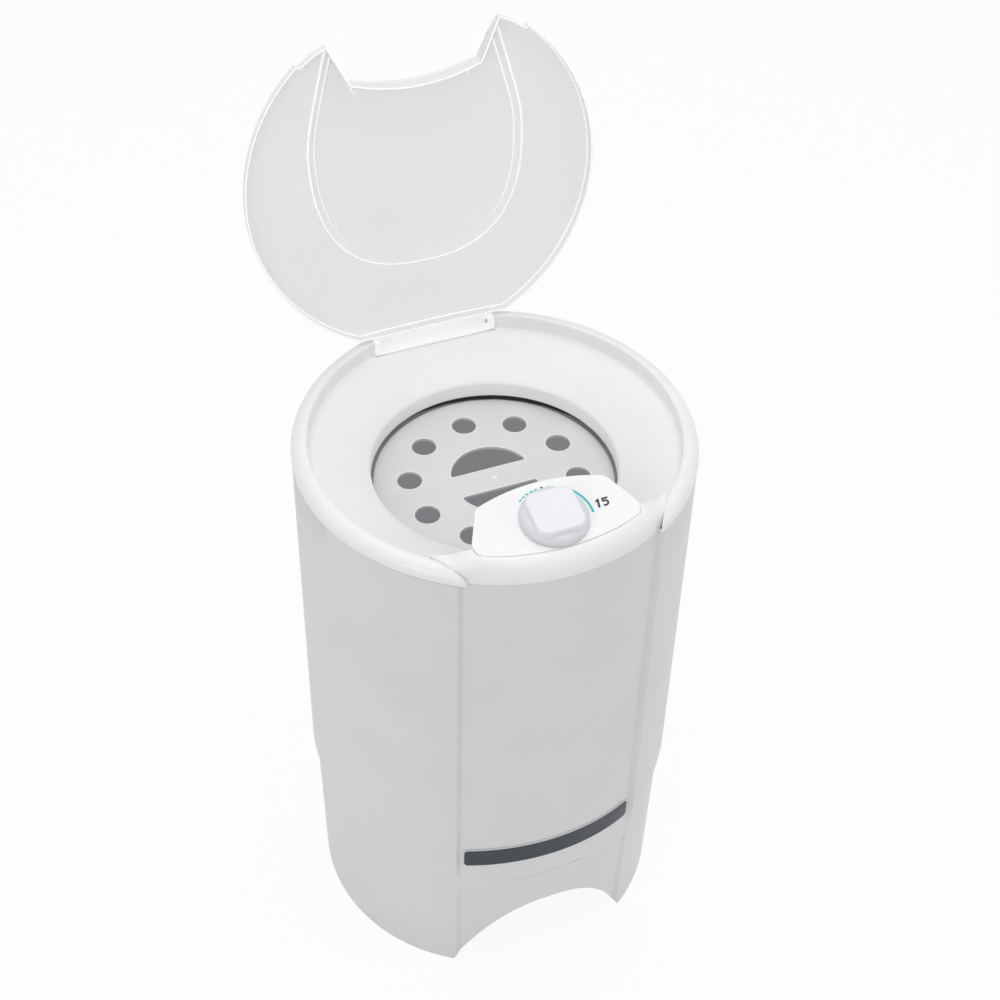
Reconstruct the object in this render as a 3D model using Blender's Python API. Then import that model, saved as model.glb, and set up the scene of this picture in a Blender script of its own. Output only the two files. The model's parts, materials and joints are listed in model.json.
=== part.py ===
"""Top-loading spin dryer with its translucent lid open.

Metres, +Z up, front at -Y. The part stands on z = 0. Everything is built round the
drum's axis and parented to one empty, which is then moved so that the origin lies
under the middle of the whole object.
"""

import bmesh
import bpy
from math import atan2, cos, degrees, pi, radians, sin, sqrt
from mathutils import Vector

# Clearances
GAP = 0.0003            # between pieces that touch
RUNNING_GAP = 0.0008    # between a turning piece and its neighbour

# Cabinet
SIDE_R = 0.2120         # outside radius of the sides
WAIST_DEPTH = 0.0045    # how far the skirt stands back under the waist
SKIRT_TAPER = 0.0033    # how much narrower the skirt is at the floor
WALL = 0.0025
LIP_Z = 0.6660          # where the deck sits on the cabinet
CABINET_FOOT = 0.0015   # the cabinet stops just above the floor, on its rubber feet
WAIST_Z = 0.225         # the waist line at the sides
WAIST_DROP = 0.032      # how much lower it is beside the front panel
WAIST_FADE = 60.0       # degrees from the front where the line is level again
WAIST_STEP = 0.020      # height over which the body steps in
PANEL_HALF_ANGLE = 31.0
PANEL_INSET = 0.0060    # front panel behind the sides
PANEL_EDGE = 1.2        # degrees taken by the crease beside the panel
PANEL_LOW_INSET = 0.0025    # further inset under the badge
PANEL_LOW_Z = 0.177
PANEL_LOW_DROP = 0.026
PANEL_LOW_STEP = 0.006
ARCH_HALF_ANGLE = 32.4
ARCH_HEIGHT = 0.118
ARCH_POWER = 2.2
GRIP_ANGLE = 90.0       # side grips, degrees from the front
GRIP_HALF_ANGLE = 16.0
GRIP_H = 0.0417
GRIP_DEPTH = 0.0108
GRIP_FOLD = 0.0005
FOOT_ANGLE = 42.0       # rubber feet, degrees from the front and from the back
FOOT_HALF_ANGLE = 6.0
FOOT_W = 0.0180
FOOT_H = 0.0120
GLAND_Z = 0.0700
GLAND_R = 0.0090
GLAND_BORE_R = 0.0045
GLAND_FLANGE_R = 0.0130
SKIRT_TOP_R = SIDE_R - WAIST_DEPTH
SKIRT_FOOT_R = SKIRT_TOP_R - SKIRT_TAPER
CABINET_TOP = LIP_Z - GAP
GRIP_FOOT_Z = CABINET_TOP - GRIP_H

# Badge strip
BADGE_HALF_ANGLE = 29.4
BADGE_RISE = 0.0160     # its top above the waist line
BADGE_H = 0.0300
BADGE_DROP = 0.0100
BADGE_T = 0.0012
BADGE_TOP_Z = WAIST_Z + BADGE_RISE

# Deck, from its lip inwards
LIP_OVERHANG = 0.0005
LIP_H = 0.0030
RING_ROUND = 0.0145     # width of the ring's rounded outside
RING_H = 0.0150
RING_EDGE = 0.0030      # rounding on the inside of the ring
LEDGE_W = 0.0045
LEDGE_DROP = 0.0015     # the lid's ledge below the lip
DISH_W = 0.0595
DISH_DEPTH = 0.0285
NECK_H = 0.0170
DECK_WALL = 0.0026
LIP_R = SIDE_R + LIP_OVERHANG
RING_R = LIP_R - RING_ROUND             # crest of the ring
RING_Z = LIP_Z + RING_H
RING_WALL_R = RING_R - RING_EDGE        # inside wall of the ring
LEDGE_R = RING_WALL_R - LEDGE_W
LEDGE_Z = LIP_Z - LEDGE_DROP
MOUTH_R = LEDGE_R - DISH_W              # opening for the clothes
MOUTH_Z = LEDGE_Z - DISH_DEPTH
NECK_Z = MOUTH_Z - NECK_H

# Console
CONSOLE_TILT = 10.0     # degrees towards the user
CONSOLE_SET_BACK = 0.0060   # its front behind the deck's lip
CONSOLE_NOSE = 0.0168   # width of its rounded front
CONSOLE_LIP_HALF_ANGLE = 32.0
CONSOLE_BACK_HALF_ANGLE = 40.5
CONSOLE_END_GAP = 0.0006    # its back corners inside the ring's wall
CONSOLE_CREST = 0.0025  # how far its ends stand above the ring
CONSOLE_WALL = 0.0025
CONSOLE_SKIRT = 0.0120  # depth of its inner edge
CONSOLE_DEPTH = 0.0875  # its inner edge from the ring's wall, at the middle
NOTCH_CORNER_X = 0.0695
NOTCH_CORNER_DEPTH = 0.0750
NOTCH_TIP_X = 0.0905
NOTCH_TIP_DEPTH = 0.0315
PLATE_T = 0.0022
PLATE_EDGE_GAP = 0.0004
CONSOLE_FRONT_R = LIP_R - CONSOLE_SET_BACK
NOTCH_MIDDLE_Y = -(RING_WALL_R - CONSOLE_DEPTH)
NOTCH_CORNER = (NOTCH_CORNER_X, -(RING_WALL_R - NOTCH_CORNER_DEPTH))
NOTCH_TIP = (NOTCH_TIP_X, -(RING_WALL_R - NOTCH_TIP_DEPTH))

# Timer and knob
KNOB_DEPTH = 0.0410     # the knob's axis from the ring's wall
KNOB_RISE = 0.0139      # top of the plate at the knob, above the ring
KNOB_SKIRT_R = 0.0350
KNOB_SKIRT_H = 0.0060
KNOB_GRIP = 0.0270      # half width of the square grip
KNOB_GRIP_CORNER = 0.0130
KNOB_GRIP_H = 0.0150
TIMER_SHAFT_R = 0.0030
TIMER_SIZE = (0.060, 0.044, 0.018)
SWITCH_SIZE = (0.0200, 0.0105, 0.0070)
SWITCH_GAP = 0.0080     # between the timer and the lid's switch
KNOB_Y = -(RING_WALL_R - KNOB_DEPTH)
KNOB_Z = RING_Z + KNOB_RISE

# Outer lid
LID_SIDE_GAP = 0.0020
LID_FOOT_GAP = 0.0005
LID_SINK = 0.0050       # its shoulder below the ring's crest
LID_DOME = 0.0130
LID_WALL = 0.0022
LID_BULGE = 2.2         # power of the dome's curve
LID_ROLL = 0.0045       # rounded edge outside the dome
LID_CUT = 0.0135        # straight rear edge of the lid, in front of the hinge line
LID_NOTCH_GAP = 0.0018
LID_OPEN = 99.3         # degrees from closed to its stop
LID_R = RING_WALL_R - LID_SIDE_GAP
LID_FOOT_Z = LEDGE_Z + LID_FOOT_GAP
LID_SHOULDER_Z = RING_Z - LID_SINK
LID_CROWN_Z = LID_SHOULDER_Z + LID_DOME
BEAD_R = 0.0020         # horseshoe bead, sunk to its middle in the lid
BEAD_SIDE_GAP = 0.0747  # widest place of the horseshoe, inside the lid's edge
BEAD_LENGTH = 0.1390    # from there to its back
BEAD_MIDDLE_Y = -0.0380
BEAD_POWER = 2.5
BEAD_SLOPE = 0.30       # how fast its arms close towards the console
BEAD_BEND = 0.0300
BEAD_END_GAP = 0.0380   # ends of its arms, inside the lid's edge

# Hinge
HINGE_SET_IN = 0.0114   # hinge line inside the ring's crest
HINGE_SINK = 0.0090     # and below it
HINGE_HALF_WIDTH = 0.0700
HINGE_BOSS_W = 0.0125   # block beyond each end of the flap that holds its pin
HINGE_END_GAP = 0.0008
HINGE_PIN_R = 0.0025
HINGE_PIN_HOLD = 0.0080     # length of a pin in the deck
HINGE_PIN_REACH = 0.0080    # length of a pin in the flap
FLAP_R = 0.0112
FLAP_ANGLES = (-12.0, 110.0)    # from straight back to just past the top, lid closed
FLAP_WALL = 0.0020
FLAP_TONGUE = 0.0030    # how far the flap reaches into the lid's wall
TROUGH_GAP = 0.0010
TROUGH_FLOOR = 0.0048
HINGE_Y = RING_R - HINGE_SET_IN
HINGE_Z = RING_Z - HINGE_SINK
TROUGH_R = FLAP_R + TROUGH_GAP

# What carries the tub
FRAME_RISE = 0.0100     # underside of the base frame above the arch
FRAME_T = 0.0050
MOUNT_H = 0.0250
MOUNT_FOOT_R = 0.0160
MOUNT_WAIST_R = 0.0125
SUSPENSION_T = 0.0030
FRAME_Z = ARCH_HEIGHT + FRAME_RISE
MOUNT_Z = FRAME_Z + FRAME_T + GAP
SUSPENSION_Z = MOUNT_Z + MOUNT_H + GAP
TUB_FOOT_Z = SUSPENSION_Z + SUSPENSION_T + GAP

# Drum and tub
RIM_GAP = 0.0035        # between the basket's rim and the deck's neck
RIM_DROP = 0.0078       # the rim below the neck
RIM_W = 0.0095
BASKET_SHOULDER_W = 0.0295
BASKET_SHOULDER_H = 0.0212
BASKET_LIFT = 0.0381    # the basket's floor above the tub's
BASKET_WALL = 0.0016
BASKET_DIP = 0.0040     # the middle of its floor, below the rest
TUB_GAP = 0.0290        # between the basket and the outside of the tub
TUB_WALL = 0.0025
TUB_RISE = 0.0040       # top of the tub above the deck's mouth
BASKET_RIM_R = MOUTH_R - RIM_GAP
BASKET_RIM_Z = NECK_Z - RIM_DROP
BASKET_MOUTH_R = BASKET_RIM_R - RIM_W
BASKET_R = BASKET_RIM_R + BASKET_SHOULDER_W
BASKET_SHOULDER_Z = BASKET_RIM_Z - BASKET_SHOULDER_H
BASKET_FOOT_Z = TUB_FOOT_Z + BASKET_LIFT
TUB_R = BASKET_R + TUB_GAP
TUB_TOP_Z = MOUTH_Z + TUB_RISE
MOUNT_SET_IN = 0.0510   # mounts, plate and outlet, inside the tub's outside
PLATE_SET_IN = 0.0360
SPOUT_SET_IN = 0.0200
SPOUT_R = 0.0130
SPOUT_WALL = 0.0018
SPOUT_FALL = 68.0       # degrees that the outlet turns forward
SEAL_R = 0.0160
MOUNT_R = TUB_R - MOUNT_SET_IN
PLATE_R = TUB_R - PLATE_SET_IN
SPOUT_Y = -(TUB_R - SPOUT_SET_IN)

# Inner lid, with its holes as shares of its radius
INNER_LID_GAP = 0.0032      # its edge inside the rim's
INNER_LID_T = 0.0031
INNER_LID_R = BASKET_RIM_R - INNER_LID_GAP
LID_HOLES = 10
LID_HOLE_PITCH = 0.716
LID_HOLE_SIZE = 0.104
MOON_SIZE = 0.323
MOON_CENTRE = 0.0755
MOON_EDGE = 0.131

# Drive
SHAFT_R = 0.0070
MOTOR_R = 0.0620
MOTOR_H = 0.0860
MOTOR_HANG = 0.0226     # between the motor and the suspension plate
MOTOR_COVER_H = 0.0120
STATOR_WALL = 0.0205
COVER_WALL = 0.0040
STUD_R = 0.0040
STUD_PITCH_R = 0.0520
FRAME_BORE_GAP = 0.0180     # round the motor
HUB_FLANGE_R = 0.0420
HUB_R = 0.0140
HUB_H = 0.0440
NUT_R = 0.0135
NUT_H = 0.0080
MOTOR_TOP_Z = SUSPENSION_Z - MOTOR_HANG
MOTOR_FOOT_Z = MOTOR_TOP_Z - MOTOR_H

# Brake
BRAKE_RISE = 0.0030     # brake drum above the motor
BRAKE_DRUM_R = 0.0300
BRAKE_DRUM_H = 0.0140
BRAKE_PAD_T = 0.0055
BRAKE_PAD_ANGLES = (72.0, 108.0)
BRAKE_PIVOT = (0.0500, 0.0400)
BRAKE_PIN_R = 0.0030
BRAKE_Z = MOTOR_TOP_Z + BRAKE_RISE

# Capacitor
CAPACITOR_R = 0.0175
CAPACITOR_H = 0.0680
CAPACITOR_PLACE = (-0.1150, 0.0350)
CLAMP_WALL = 0.0017
CLAMP_SPAN = (0.026, 0.040)

ROUND_STEPS = 48
DRIVE_STEPS = 20
COLUMN_STEP = 8.0       # degrees between the cabinet's columns at the back

for old in list(bpy.data.objects):
    bpy.data.objects.remove(old)


def material(name, colour, roughness, metallic=0.0, alpha=1.0):
    """A Principled BSDF of one colour."""
    made = bpy.data.materials.new(name)
    made.use_nodes = True
    shader = made.node_tree.nodes["Principled BSDF"]
    shader.inputs["Base Color"].default_value = (*colour, 1.0)
    shader.inputs["Roughness"].default_value = roughness
    shader.inputs["Metallic"].default_value = metallic
    shader.inputs["Alpha"].default_value = alpha
    return made


WHITE = material("white plastic", (0.80, 0.80, 0.80), 0.35)
BODY_WHITE = material("body plastic", (0.62, 0.62, 0.62), 0.45)
PLATE_WHITE = material("plate plastic", (0.86, 0.87, 0.88), 0.3)
CLEAR = material("milky clear plastic", (0.85, 0.86, 0.87), 0.2, alpha=0.45)
SLATE = material("slate strip", (0.045, 0.06, 0.075), 0.4)
RUBBER = material("black rubber", (0.03, 0.03, 0.03), 0.8)
STEEL = material("zinc-plated steel", (0.55, 0.56, 0.58), 0.35, 1.0)
DARK_PLASTIC = material("grey plastic", (0.22, 0.23, 0.24), 0.5)
BASKET_PLASTIC = material("basket plastic", (0.42, 0.43, 0.44), 0.4)
INNER_LID_PLASTIC = material("inner lid plastic", (0.68, 0.69, 0.70), 0.35)
ALUMINIUM = material("cast aluminium", (0.60, 0.61, 0.62), 0.45, 1.0)

MACHINE = bpy.data.objects.new("machine_axis", None)
bpy.context.scene.collection.objects.link(MACHINE)


def empty(name, parent, location, rotation=(0.0, 0.0, 0.0)):
    """A frame to hang pieces on."""
    made = bpy.data.objects.new(name, None)
    bpy.context.scene.collection.objects.link(made)
    made.parent = parent
    made.location = location
    made.rotation_euler = rotation
    return made


def piece(name, shape, skin, parent=MACHINE, location=(0.0, 0.0, 0.0), rotation=(0.0, 0.0, 0.0)):
    """Makes a closed bmesh into a named object."""
    bmesh.ops.remove_doubles(shape, verts=shape.verts, dist=1e-6)
    bmesh.ops.recalc_face_normals(shape, faces=shape.faces)
    mesh = bpy.data.meshes.new(name)
    shape.to_mesh(mesh)
    shape.free()
    mesh.shade_smooth()
    mesh.set_sharp_from_angle(angle=radians(35))
    mesh.materials.append(skin)
    made = bpy.data.objects.new(name, mesh)
    bpy.context.scene.collection.objects.link(made)
    made.parent = parent
    made.location = location
    made.rotation_euler = rotation
    return made


def cutter(name, shape, parent=MACHINE, location=(0.0, 0.0, 0.0), rotation=(0.0, 0.0, 0.0)):
    """A helper solid that is left out of the object."""
    made = piece(name, shape, DARK_PLASTIC, parent, location, rotation)
    made.hide_render = True
    made.display_type = "WIRE"
    return made


def combine(target, other, operation="DIFFERENCE"):
    """Cuts other from target, or joins it to it."""
    step = target.modifiers.new(other.name, "BOOLEAN")
    step.operation = operation
    step.solver = "EXACT"
    step.object = other


def polar(radius, angle, z=0.0):
    """Point at an angle in degrees, counted from the front towards the right."""
    turn = radians(angle)
    return Vector((radius * sin(turn), -radius * cos(turn), z))


def skin_rings(shape, rings, loop):
    """Quads between closed rings of equally many points. loop joins the last ring to the first."""
    rows = [[shape.verts.new(point) for point in ring] for ring in rings]
    count = len(rings[0])
    pairs = list(zip(rows, rows[1:]))
    if loop:
        pairs.append((rows[-1], rows[0]))
    for low, high in pairs:
        for i in range(count):
            j = (i + 1) % count
            shape.faces.new((low[i], low[j], high[j], high[i]))
    return rows


def lofted(rings):
    """Solid through closed rings, with flat ends."""
    shape = bmesh.new()
    rows = skin_rings(shape, rings, loop=False)
    shape.faces.new(reversed(rows[0]))
    shape.faces.new(rows[-1])
    return shape


def turned(profile, steps=ROUND_STEPS):
    """Revolves (radius, z) points about Z. A profile that ends on the axis is closed there, any other is a ring."""
    shape = bmesh.new()
    closed = profile[0][0] > 1e-9
    body = profile if closed else profile[1:-1]
    rings = [[polar(r, 360.0 * i / steps, z) for i in range(steps)] for r, z in body]
    rows = skin_rings(shape, rings, loop=closed)
    if not closed:
        for ring, tip, beside in ((rows[0], profile[0], profile[1]), (rows[-1], profile[-1], profile[-2])):
            if abs(tip[1] - beside[1]) < 1e-9:
                shape.faces.new(ring)
                continue
            pole = shape.verts.new((0.0, 0.0, tip[1]))
            for i in range(steps):
                shape.faces.new((ring[i], ring[(i + 1) % steps], pole))
    return shape


def disc(radius, low, high, steps=ROUND_STEPS):
    """Plain cylinder on Z."""
    return turned([(0.0, low), (radius, low), (radius, high), (0.0, high)], steps)


def washer(inner, outer, low, high, steps=ROUND_STEPS):
    """Cylinder on Z with a bore."""
    return turned([(outer, low), (outer, high), (inner, high), (inner, low)], steps)


def prism(outline, low, high):
    """Upright prism on an outline of (x, y) points."""
    return lofted([[Vector((x, y, z)) for x, y in outline] for z in (low, high)])


def inset_profile(points, thickness, skipped=()):
    """Closes an open profile into a wall, to the left of its run. The skipped points have none opposite them."""
    count = len(points)
    hidden = []
    for i, (r, z) in enumerate(points):
        before = points[max(i - 1, 0)]
        after = points[min(i + 1, count - 1)]
        sides = []
        for a, b in ((before, (r, z)), ((r, z), after)):
            run, rise = b[0] - a[0], b[1] - a[1]
            length = sqrt(run * run + rise * rise)
            if length > 1e-9:
                sides.append((-rise / length, run / length))
        nx = sum(s[0] for s in sides)
        nz = sum(s[1] for s in sides)
        size = nx * nx + nz * nz
        reach = thickness * len(sides) / size
        if i not in skipped:
            hidden.append((r + nx * reach, z + nz * reach))
    return points + hidden[::-1]


def smooth_step(value, low, high):
    """0 below low, 1 above high, smooth between."""
    t = min(max((value - low) / (high - low), 0.0), 1.0)
    return t * t * (3.0 - 2.0 * t)


def box(low, high):
    """Block between two corners."""
    outline = [(low[0], low[1]), (high[0], low[1]), (high[0], high[1]), (low[0], high[1])]
    return prism(outline, low[2], high[2])


def sector(inner, outer, start, end, low, high, steps=6):
    """Block between two radii, two angles and two heights."""
    angles = [start + (end - start) * i / steps for i in range(steps + 1)]
    outline = [polar(outer, a)[:2] for a in angles] + [polar(inner, a)[:2] for a in reversed(angles)]
    return prism(outline, low, high)


def pipe(path, outer, inner, steps=10):
    """Open tube along a path in the YZ plane."""
    rings = []
    for radius, run in ((outer, path), (inner, path[::-1])):
        for i, point in enumerate(run):
            before = Vector(run[max(i - 1, 0)])
            after = Vector(run[min(i + 1, len(run) - 1)])
            along = (after - before).normalized()
            if radius == inner:
                along = -along
            side = Vector((1.0, 0.0, 0.0))
            up = along.cross(side)
            ring = []
            for k in range(steps):
                turn = 2.0 * pi * k / steps
                ring.append(Vector(point) + radius * (cos(turn) * side + sin(turn) * up))
            rings.append(ring)
    shape = bmesh.new()
    skin_rings(shape, rings, loop=True)
    return shape


def rounded_square(half, corner, z, steps=4):
    """Outline of a square with round corners."""
    points = []
    for quarter in range(4):
        middle = radians(45.0 + 90.0 * quarter)
        centre = Vector(((half - corner) * (1 if cos(middle) > 0 else -1),
                         (half - corner) * (1 if sin(middle) > 0 else -1), z))
        for k in range(steps + 1):
            turn = radians(90.0 * quarter + 90.0 * k / steps)
            points.append(centre + Vector((corner * cos(turn), corner * sin(turn), 0.0)))
    return points


# The cabinet's outer surface


def folded(angle):
    """Angle from the front, from 0 to 180."""
    turn = abs(angle) % 360.0
    return min(turn, 360.0 - turn)


def waist_z(angle):
    """Height of the waist line."""
    across = folded(angle)
    if across >= WAIST_FADE:
        return WAIST_Z
    share = min((WAIST_FADE - across) / (WAIST_FADE - PANEL_HALF_ANGLE), 1.0)
    return WAIST_Z - WAIST_DROP * share * share


def panel_low_z(angle):
    """Height of the crease under the badge."""
    share = min(folded(angle) / PANEL_HALF_ANGLE, 1.0)
    return PANEL_LOW_Z - PANEL_LOW_DROP * share * share


def arch_z(angle):
    """Lower edge of the cabinet, which arches up at the front."""
    across = folded(angle)
    if across >= ARCH_HALF_ANGLE:
        return CABINET_FOOT
    return CABINET_FOOT + (ARCH_HEIGHT - CABINET_FOOT) * (1.0 - (across / ARCH_HALF_ANGLE) ** ARCH_POWER)


def cabinet_r(angle, z):
    """Outside radius of the cabinet."""
    across = folded(angle)
    line = waist_z(angle)
    skirt = SKIRT_FOOT_R + (SKIRT_TOP_R - SKIRT_FOOT_R) * min(z / (line - WAIST_STEP), 1.0)
    side = skirt + (SIDE_R - SKIRT_TOP_R) * smooth_step(z, line - WAIST_STEP, line)
    panel = SIDE_R - PANEL_INSET
    low = panel - PANEL_LOW_INSET
    crease = panel_low_z(angle)
    front = low + PANEL_LOW_INSET * smooth_step(z, crease - PANEL_LOW_STEP, crease)
    front -= (SKIRT_TOP_R - SKIRT_FOOT_R) * (1.0 - min(z / crease, 1.0))
    share = smooth_step(across, PANEL_HALF_ANGLE - PANEL_EDGE / 2, PANEL_HALF_ANGLE + PANEL_EDGE / 2)
    radius = front + (side - front) * share
    sideways = abs(across - GRIP_ANGLE)
    if sideways < GRIP_HALF_ANGLE and z > GRIP_FOOT_Z:
        radius -= GRIP_DEPTH * (z - GRIP_FOOT_Z) / (CABINET_TOP - GRIP_FOOT_Z)
    return radius


def cabinet_angles():
    """Angles of the cabinet's columns: close together where the surface turns, and on both sides of each crease."""
    half = [3.0 * i for i in range(10)]
    half += [PANEL_HALF_ANGLE - PANEL_EDGE / 2, PANEL_HALF_ANGLE, PANEL_HALF_ANGLE + PANEL_EDGE / 2]
    half += [ARCH_HALF_ANGLE + 0.4, 37.0, 42.0, 48.0, 54.0, 60.0, 67.0]
    first, last = GRIP_ANGLE - GRIP_HALF_ANGLE, GRIP_ANGLE + GRIP_HALF_ANGLE
    half += [first - 0.3, first + 0.3, 80.0, 86.0, 92.0, 98.0, last - 0.3, last + 0.3]
    half.append(113.0)
    half += [180.0 - COLUMN_STEP * k for k in range(7, 0, -1)]
    return half + [180.0] + [360.0 - a for a in reversed(half) if a > 0.0]


def cabinet_rows(angle):
    """Heights of the cabinet's points in one column, from the foot to the top."""
    foot = arch_z(angle)
    crease = panel_low_z(angle)
    low = crease - PANEL_LOW_STEP
    rows = [foot, foot + (low - foot) / 3, foot + (low - foot) * 2 / 3, low, crease]
    line = waist_z(angle)
    rows += [line - WAIST_STEP, line - WAIST_STEP / 2, line]
    rows += [line + (GRIP_FOOT_Z - line) / 3, line + (GRIP_FOOT_Z - line) * 2 / 3]
    rows += [GRIP_FOOT_Z - GRIP_FOLD, GRIP_FOOT_Z + GRIP_FOLD, (GRIP_FOOT_Z + CABINET_TOP) / 2]
    return rows + [CABINET_TOP]


def make_cabinet():
    """Moulded outer shell: sides, recessed front panel, arch and side grips."""
    angles = cabinet_angles()
    columns = [cabinet_rows(a) for a in angles]
    count = len(columns[0])
    outside = []
    for k in range(count):
        outside.append([polar(cabinet_r(a, rows[k]), a, rows[k]) for a, rows in zip(angles, columns)])
    inner_rows = [k for k in range(count) if k not in (1, 2, 6)]
    inside = []
    for k in reversed(inner_rows):
        ring = []
        for a, rows in zip(angles, columns):
            ring.append(polar(cabinet_r(a, rows[k]) - WALL, a, rows[k]))
        inside.append(ring)
    shape = bmesh.new()
    skin_rings(shape, outside + inside, loop=True)
    shell = piece("cabinet_shell", shape, BODY_WHITE)
    hole = disc(GLAND_R + 2 * GAP, -0.02, 0.02, 16)
    combine(shell, cutter("gland_hole", hole, MACHINE, gland_place(), GLAND_TURN))


GLAND_TURN = (radians(-90.0), 0.0, 0.0)


def gland_place():
    """Where the gland's flange meets the back of the skirt."""
    return (0.0, cabinet_r(180.0, GLAND_Z) + 2 * GAP, GLAND_Z)


def make_gland():
    """Bushing that a mains lead would come out of, low on the back."""
    profile = [(GLAND_BORE_R, -0.012), (GLAND_R, -0.012), (GLAND_R, 0.0), (GLAND_FLANGE_R, 0.0),
               (GLAND_FLANGE_R, 0.0023), (GLAND_R + 0.001, 0.0043), (GLAND_BORE_R, 0.0043)]
    piece("cord_gland", turned(profile, 16), RUBBER, MACHINE, gland_place(), GLAND_TURN)


def make_feet():
    """Rubber feet inside the skirt, two beside the arch and two at the back."""
    back = 180.0 - FOOT_ANGLE
    outer = SKIRT_FOOT_R * cos(radians(COLUMN_STEP / 2)) - WALL - GAP
    for name, middle in (("front_left", -FOOT_ANGLE), ("front_right", FOOT_ANGLE), ("back_left", -back),
                         ("back_right", back)):
        shape = sector(outer - FOOT_W, outer, middle - FOOT_HALF_ANGLE, middle + FOOT_HALF_ANGLE, 0.0, FOOT_H)
        piece("foot_" + name, shape, RUBBER)


def make_badge():
    """Blank dark strip across the front panel."""
    steps = 22
    rings = []
    for i in range(steps + 1):
        share = -1.0 + 2.0 * i / steps
        angle = BADGE_HALF_ANGLE * share
        top = BADGE_TOP_Z - BADGE_DROP * share * share
        foot = top - BADGE_H
        back = SIDE_R - PANEL_INSET + GAP
        rings.append([polar(back, angle, foot), polar(back + BADGE_T, angle, foot + 0.0008),
                      polar(back + BADGE_T, angle, top - 0.0008), polar(back, angle, top)])
    piece("badge_strip", lofted(rings), SLATE)


# The deck


def deck_profile():
    """The deck's upper surface, from the lip's lower edge over the ring and down the dish to the neck."""
    rise = RING_H - LIP_H
    points = [(LIP_R, LIP_Z), (LIP_R, LIP_Z + LIP_H)]
    for k in range(1, 5):
        turn = radians(22.5 * k)
        points.append((RING_R + RING_ROUND * cos(turn), LIP_Z + LIP_H + rise * sin(turn)))
    points += [(RING_WALL_R + 0.0008, RING_Z - 0.0007), (RING_WALL_R, RING_Z - RING_EDGE)]
    points += [(RING_WALL_R, LEDGE_Z), (LEDGE_R, LEDGE_Z)]
    for k in range(1, 4):
        share = k / 3
        fall = (DISH_DEPTH - 0.0015) * (0.72 * share + 0.28 * share * share)
        points.append((LEDGE_R - (DISH_W - 0.003) * share, LEDGE_Z - fall))
    points += [(MOUTH_R + 0.0009, MOUTH_Z - 0.0005), (MOUTH_R, MOUTH_Z - 0.0030), (MOUTH_R, NECK_Z)]
    return points


def console_back():
    """The console's right back corner, beside the ring's wall."""
    return polar(RING_WALL_R - CONSOLE_END_GAP, CONSOLE_BACK_HALF_ANGLE)


def console_sides(grow):
    """Right side of the console's plan as (x, y) points, from beyond its lip to its inner edge, grown by grow."""
    lip = polar(CONSOLE_FRONT_R, CONSOLE_LIP_HALF_ANGLE)
    back = console_back()
    along = (lip - back).normalized()
    out = Vector((-along.y, along.x, 0.0)) * grow
    far = back + along * 0.120 + out
    near = back - along * grow + out
    return [(far.x, far.y), (near.x, near.y), (NOTCH_TIP_X, NOTCH_TIP[1] + 2 * grow), NOTCH_CORNER]


def deck_console_cutter():
    """Space that the console takes out of the deck's ring."""
    right = console_sides(GAP)
    mirrored = [(-x, y) for x, y in reversed(right)]
    return prism(right + mirrored, LIP_Z - GAP, RING_Z + 0.03)


def make_deck():
    """Top moulding: lip, ring, dish and neck, with a trough for the lid's flap and a seat for the console."""
    deck = piece("top_deck", turned(inset_profile(deck_profile(), DECK_WALL, (1, 3, 6, 10, 11, 13))), WHITE)
    for name, block in zip(("trough_floor", "trough_back"), hinge_blocks()):
        combine(deck, cutter(name, block), "UNION")
    reach = HINGE_HALF_WIDTH + HINGE_END_GAP
    trough = disc(TROUGH_R, -reach, reach, 22)
    combine(deck, cutter("trough_cut", trough, MACHINE, HINGE_PLACE, HINGE_TURN))
    above = box((-reach, HINGE_Y - TROUGH_R, HINGE_Z), (reach, HINGE_Y + TROUGH_R, RING_Z + 0.01))
    combine(deck, cutter("trough_top_cut", above))
    reach = HINGE_HALF_WIDTH + HINGE_PIN_HOLD + HINGE_END_GAP
    pin_hole = disc(HINGE_PIN_R + GAP, -reach, reach, 16)
    combine(deck, cutter("pin_hole_cut", pin_hole, MACHINE, HINGE_PLACE, HINGE_TURN))
    combine(deck, cutter("console_seat_cut", deck_console_cutter()))


HINGE_PLACE = (0.0, HINGE_Y, HINGE_Z)
HINGE_TURN = (0.0, radians(90.0), 0.0)


def hinge_blocks():
    """Solid stretches of the deck under the flap's trough, and behind it inside the ring, where the pins sit."""
    reach = degrees(atan2(HINGE_HALF_WIDTH + HINGE_BOSS_W, HINGE_Y))
    foot = HINGE_Z - TROUGH_R - TROUGH_FLOOR
    outer = RING_R + RING_ROUND - 0.0055
    floor = sector(RING_WALL_R - 0.0130, outer, 180.0 - reach, 180.0 + reach, foot, LEDGE_Z - 0.0032, 12)
    reach -= 0.4
    back = sector(RING_WALL_R + 0.0013, outer - 0.0006, 180.0 - reach, 180.0 + reach, foot + 0.001, RING_Z - 0.0035, 13)
    return floor, back


def make_hinge_pins():
    """Pins from the deck into the flap's ends."""
    inside = HINGE_HALF_WIDTH - HINGE_PIN_REACH
    outside = HINGE_HALF_WIDTH + HINGE_PIN_HOLD
    for name, side in (("left", -1.0), ("right", 1.0)):
        low, high = sorted((side * inside, side * outside))
        piece("hinge_pin_" + name, disc(HINGE_PIN_R, low, high, 16), STEEL, MACHINE, HINGE_PLACE, HINGE_TURN)


# The console


def plate_plane(y):
    """Height of the control plate's top at y."""
    return KNOB_Z + (y - KNOB_Y) * sin(radians(CONSOLE_TILT)) / cos(radians(CONSOLE_TILT))


def notch_arc(x, middle, corner):
    """y of the console's inner edge, which bows from one corner to the other."""
    share = x / corner[0]
    return middle + (corner[1] - middle) * share * share


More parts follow.
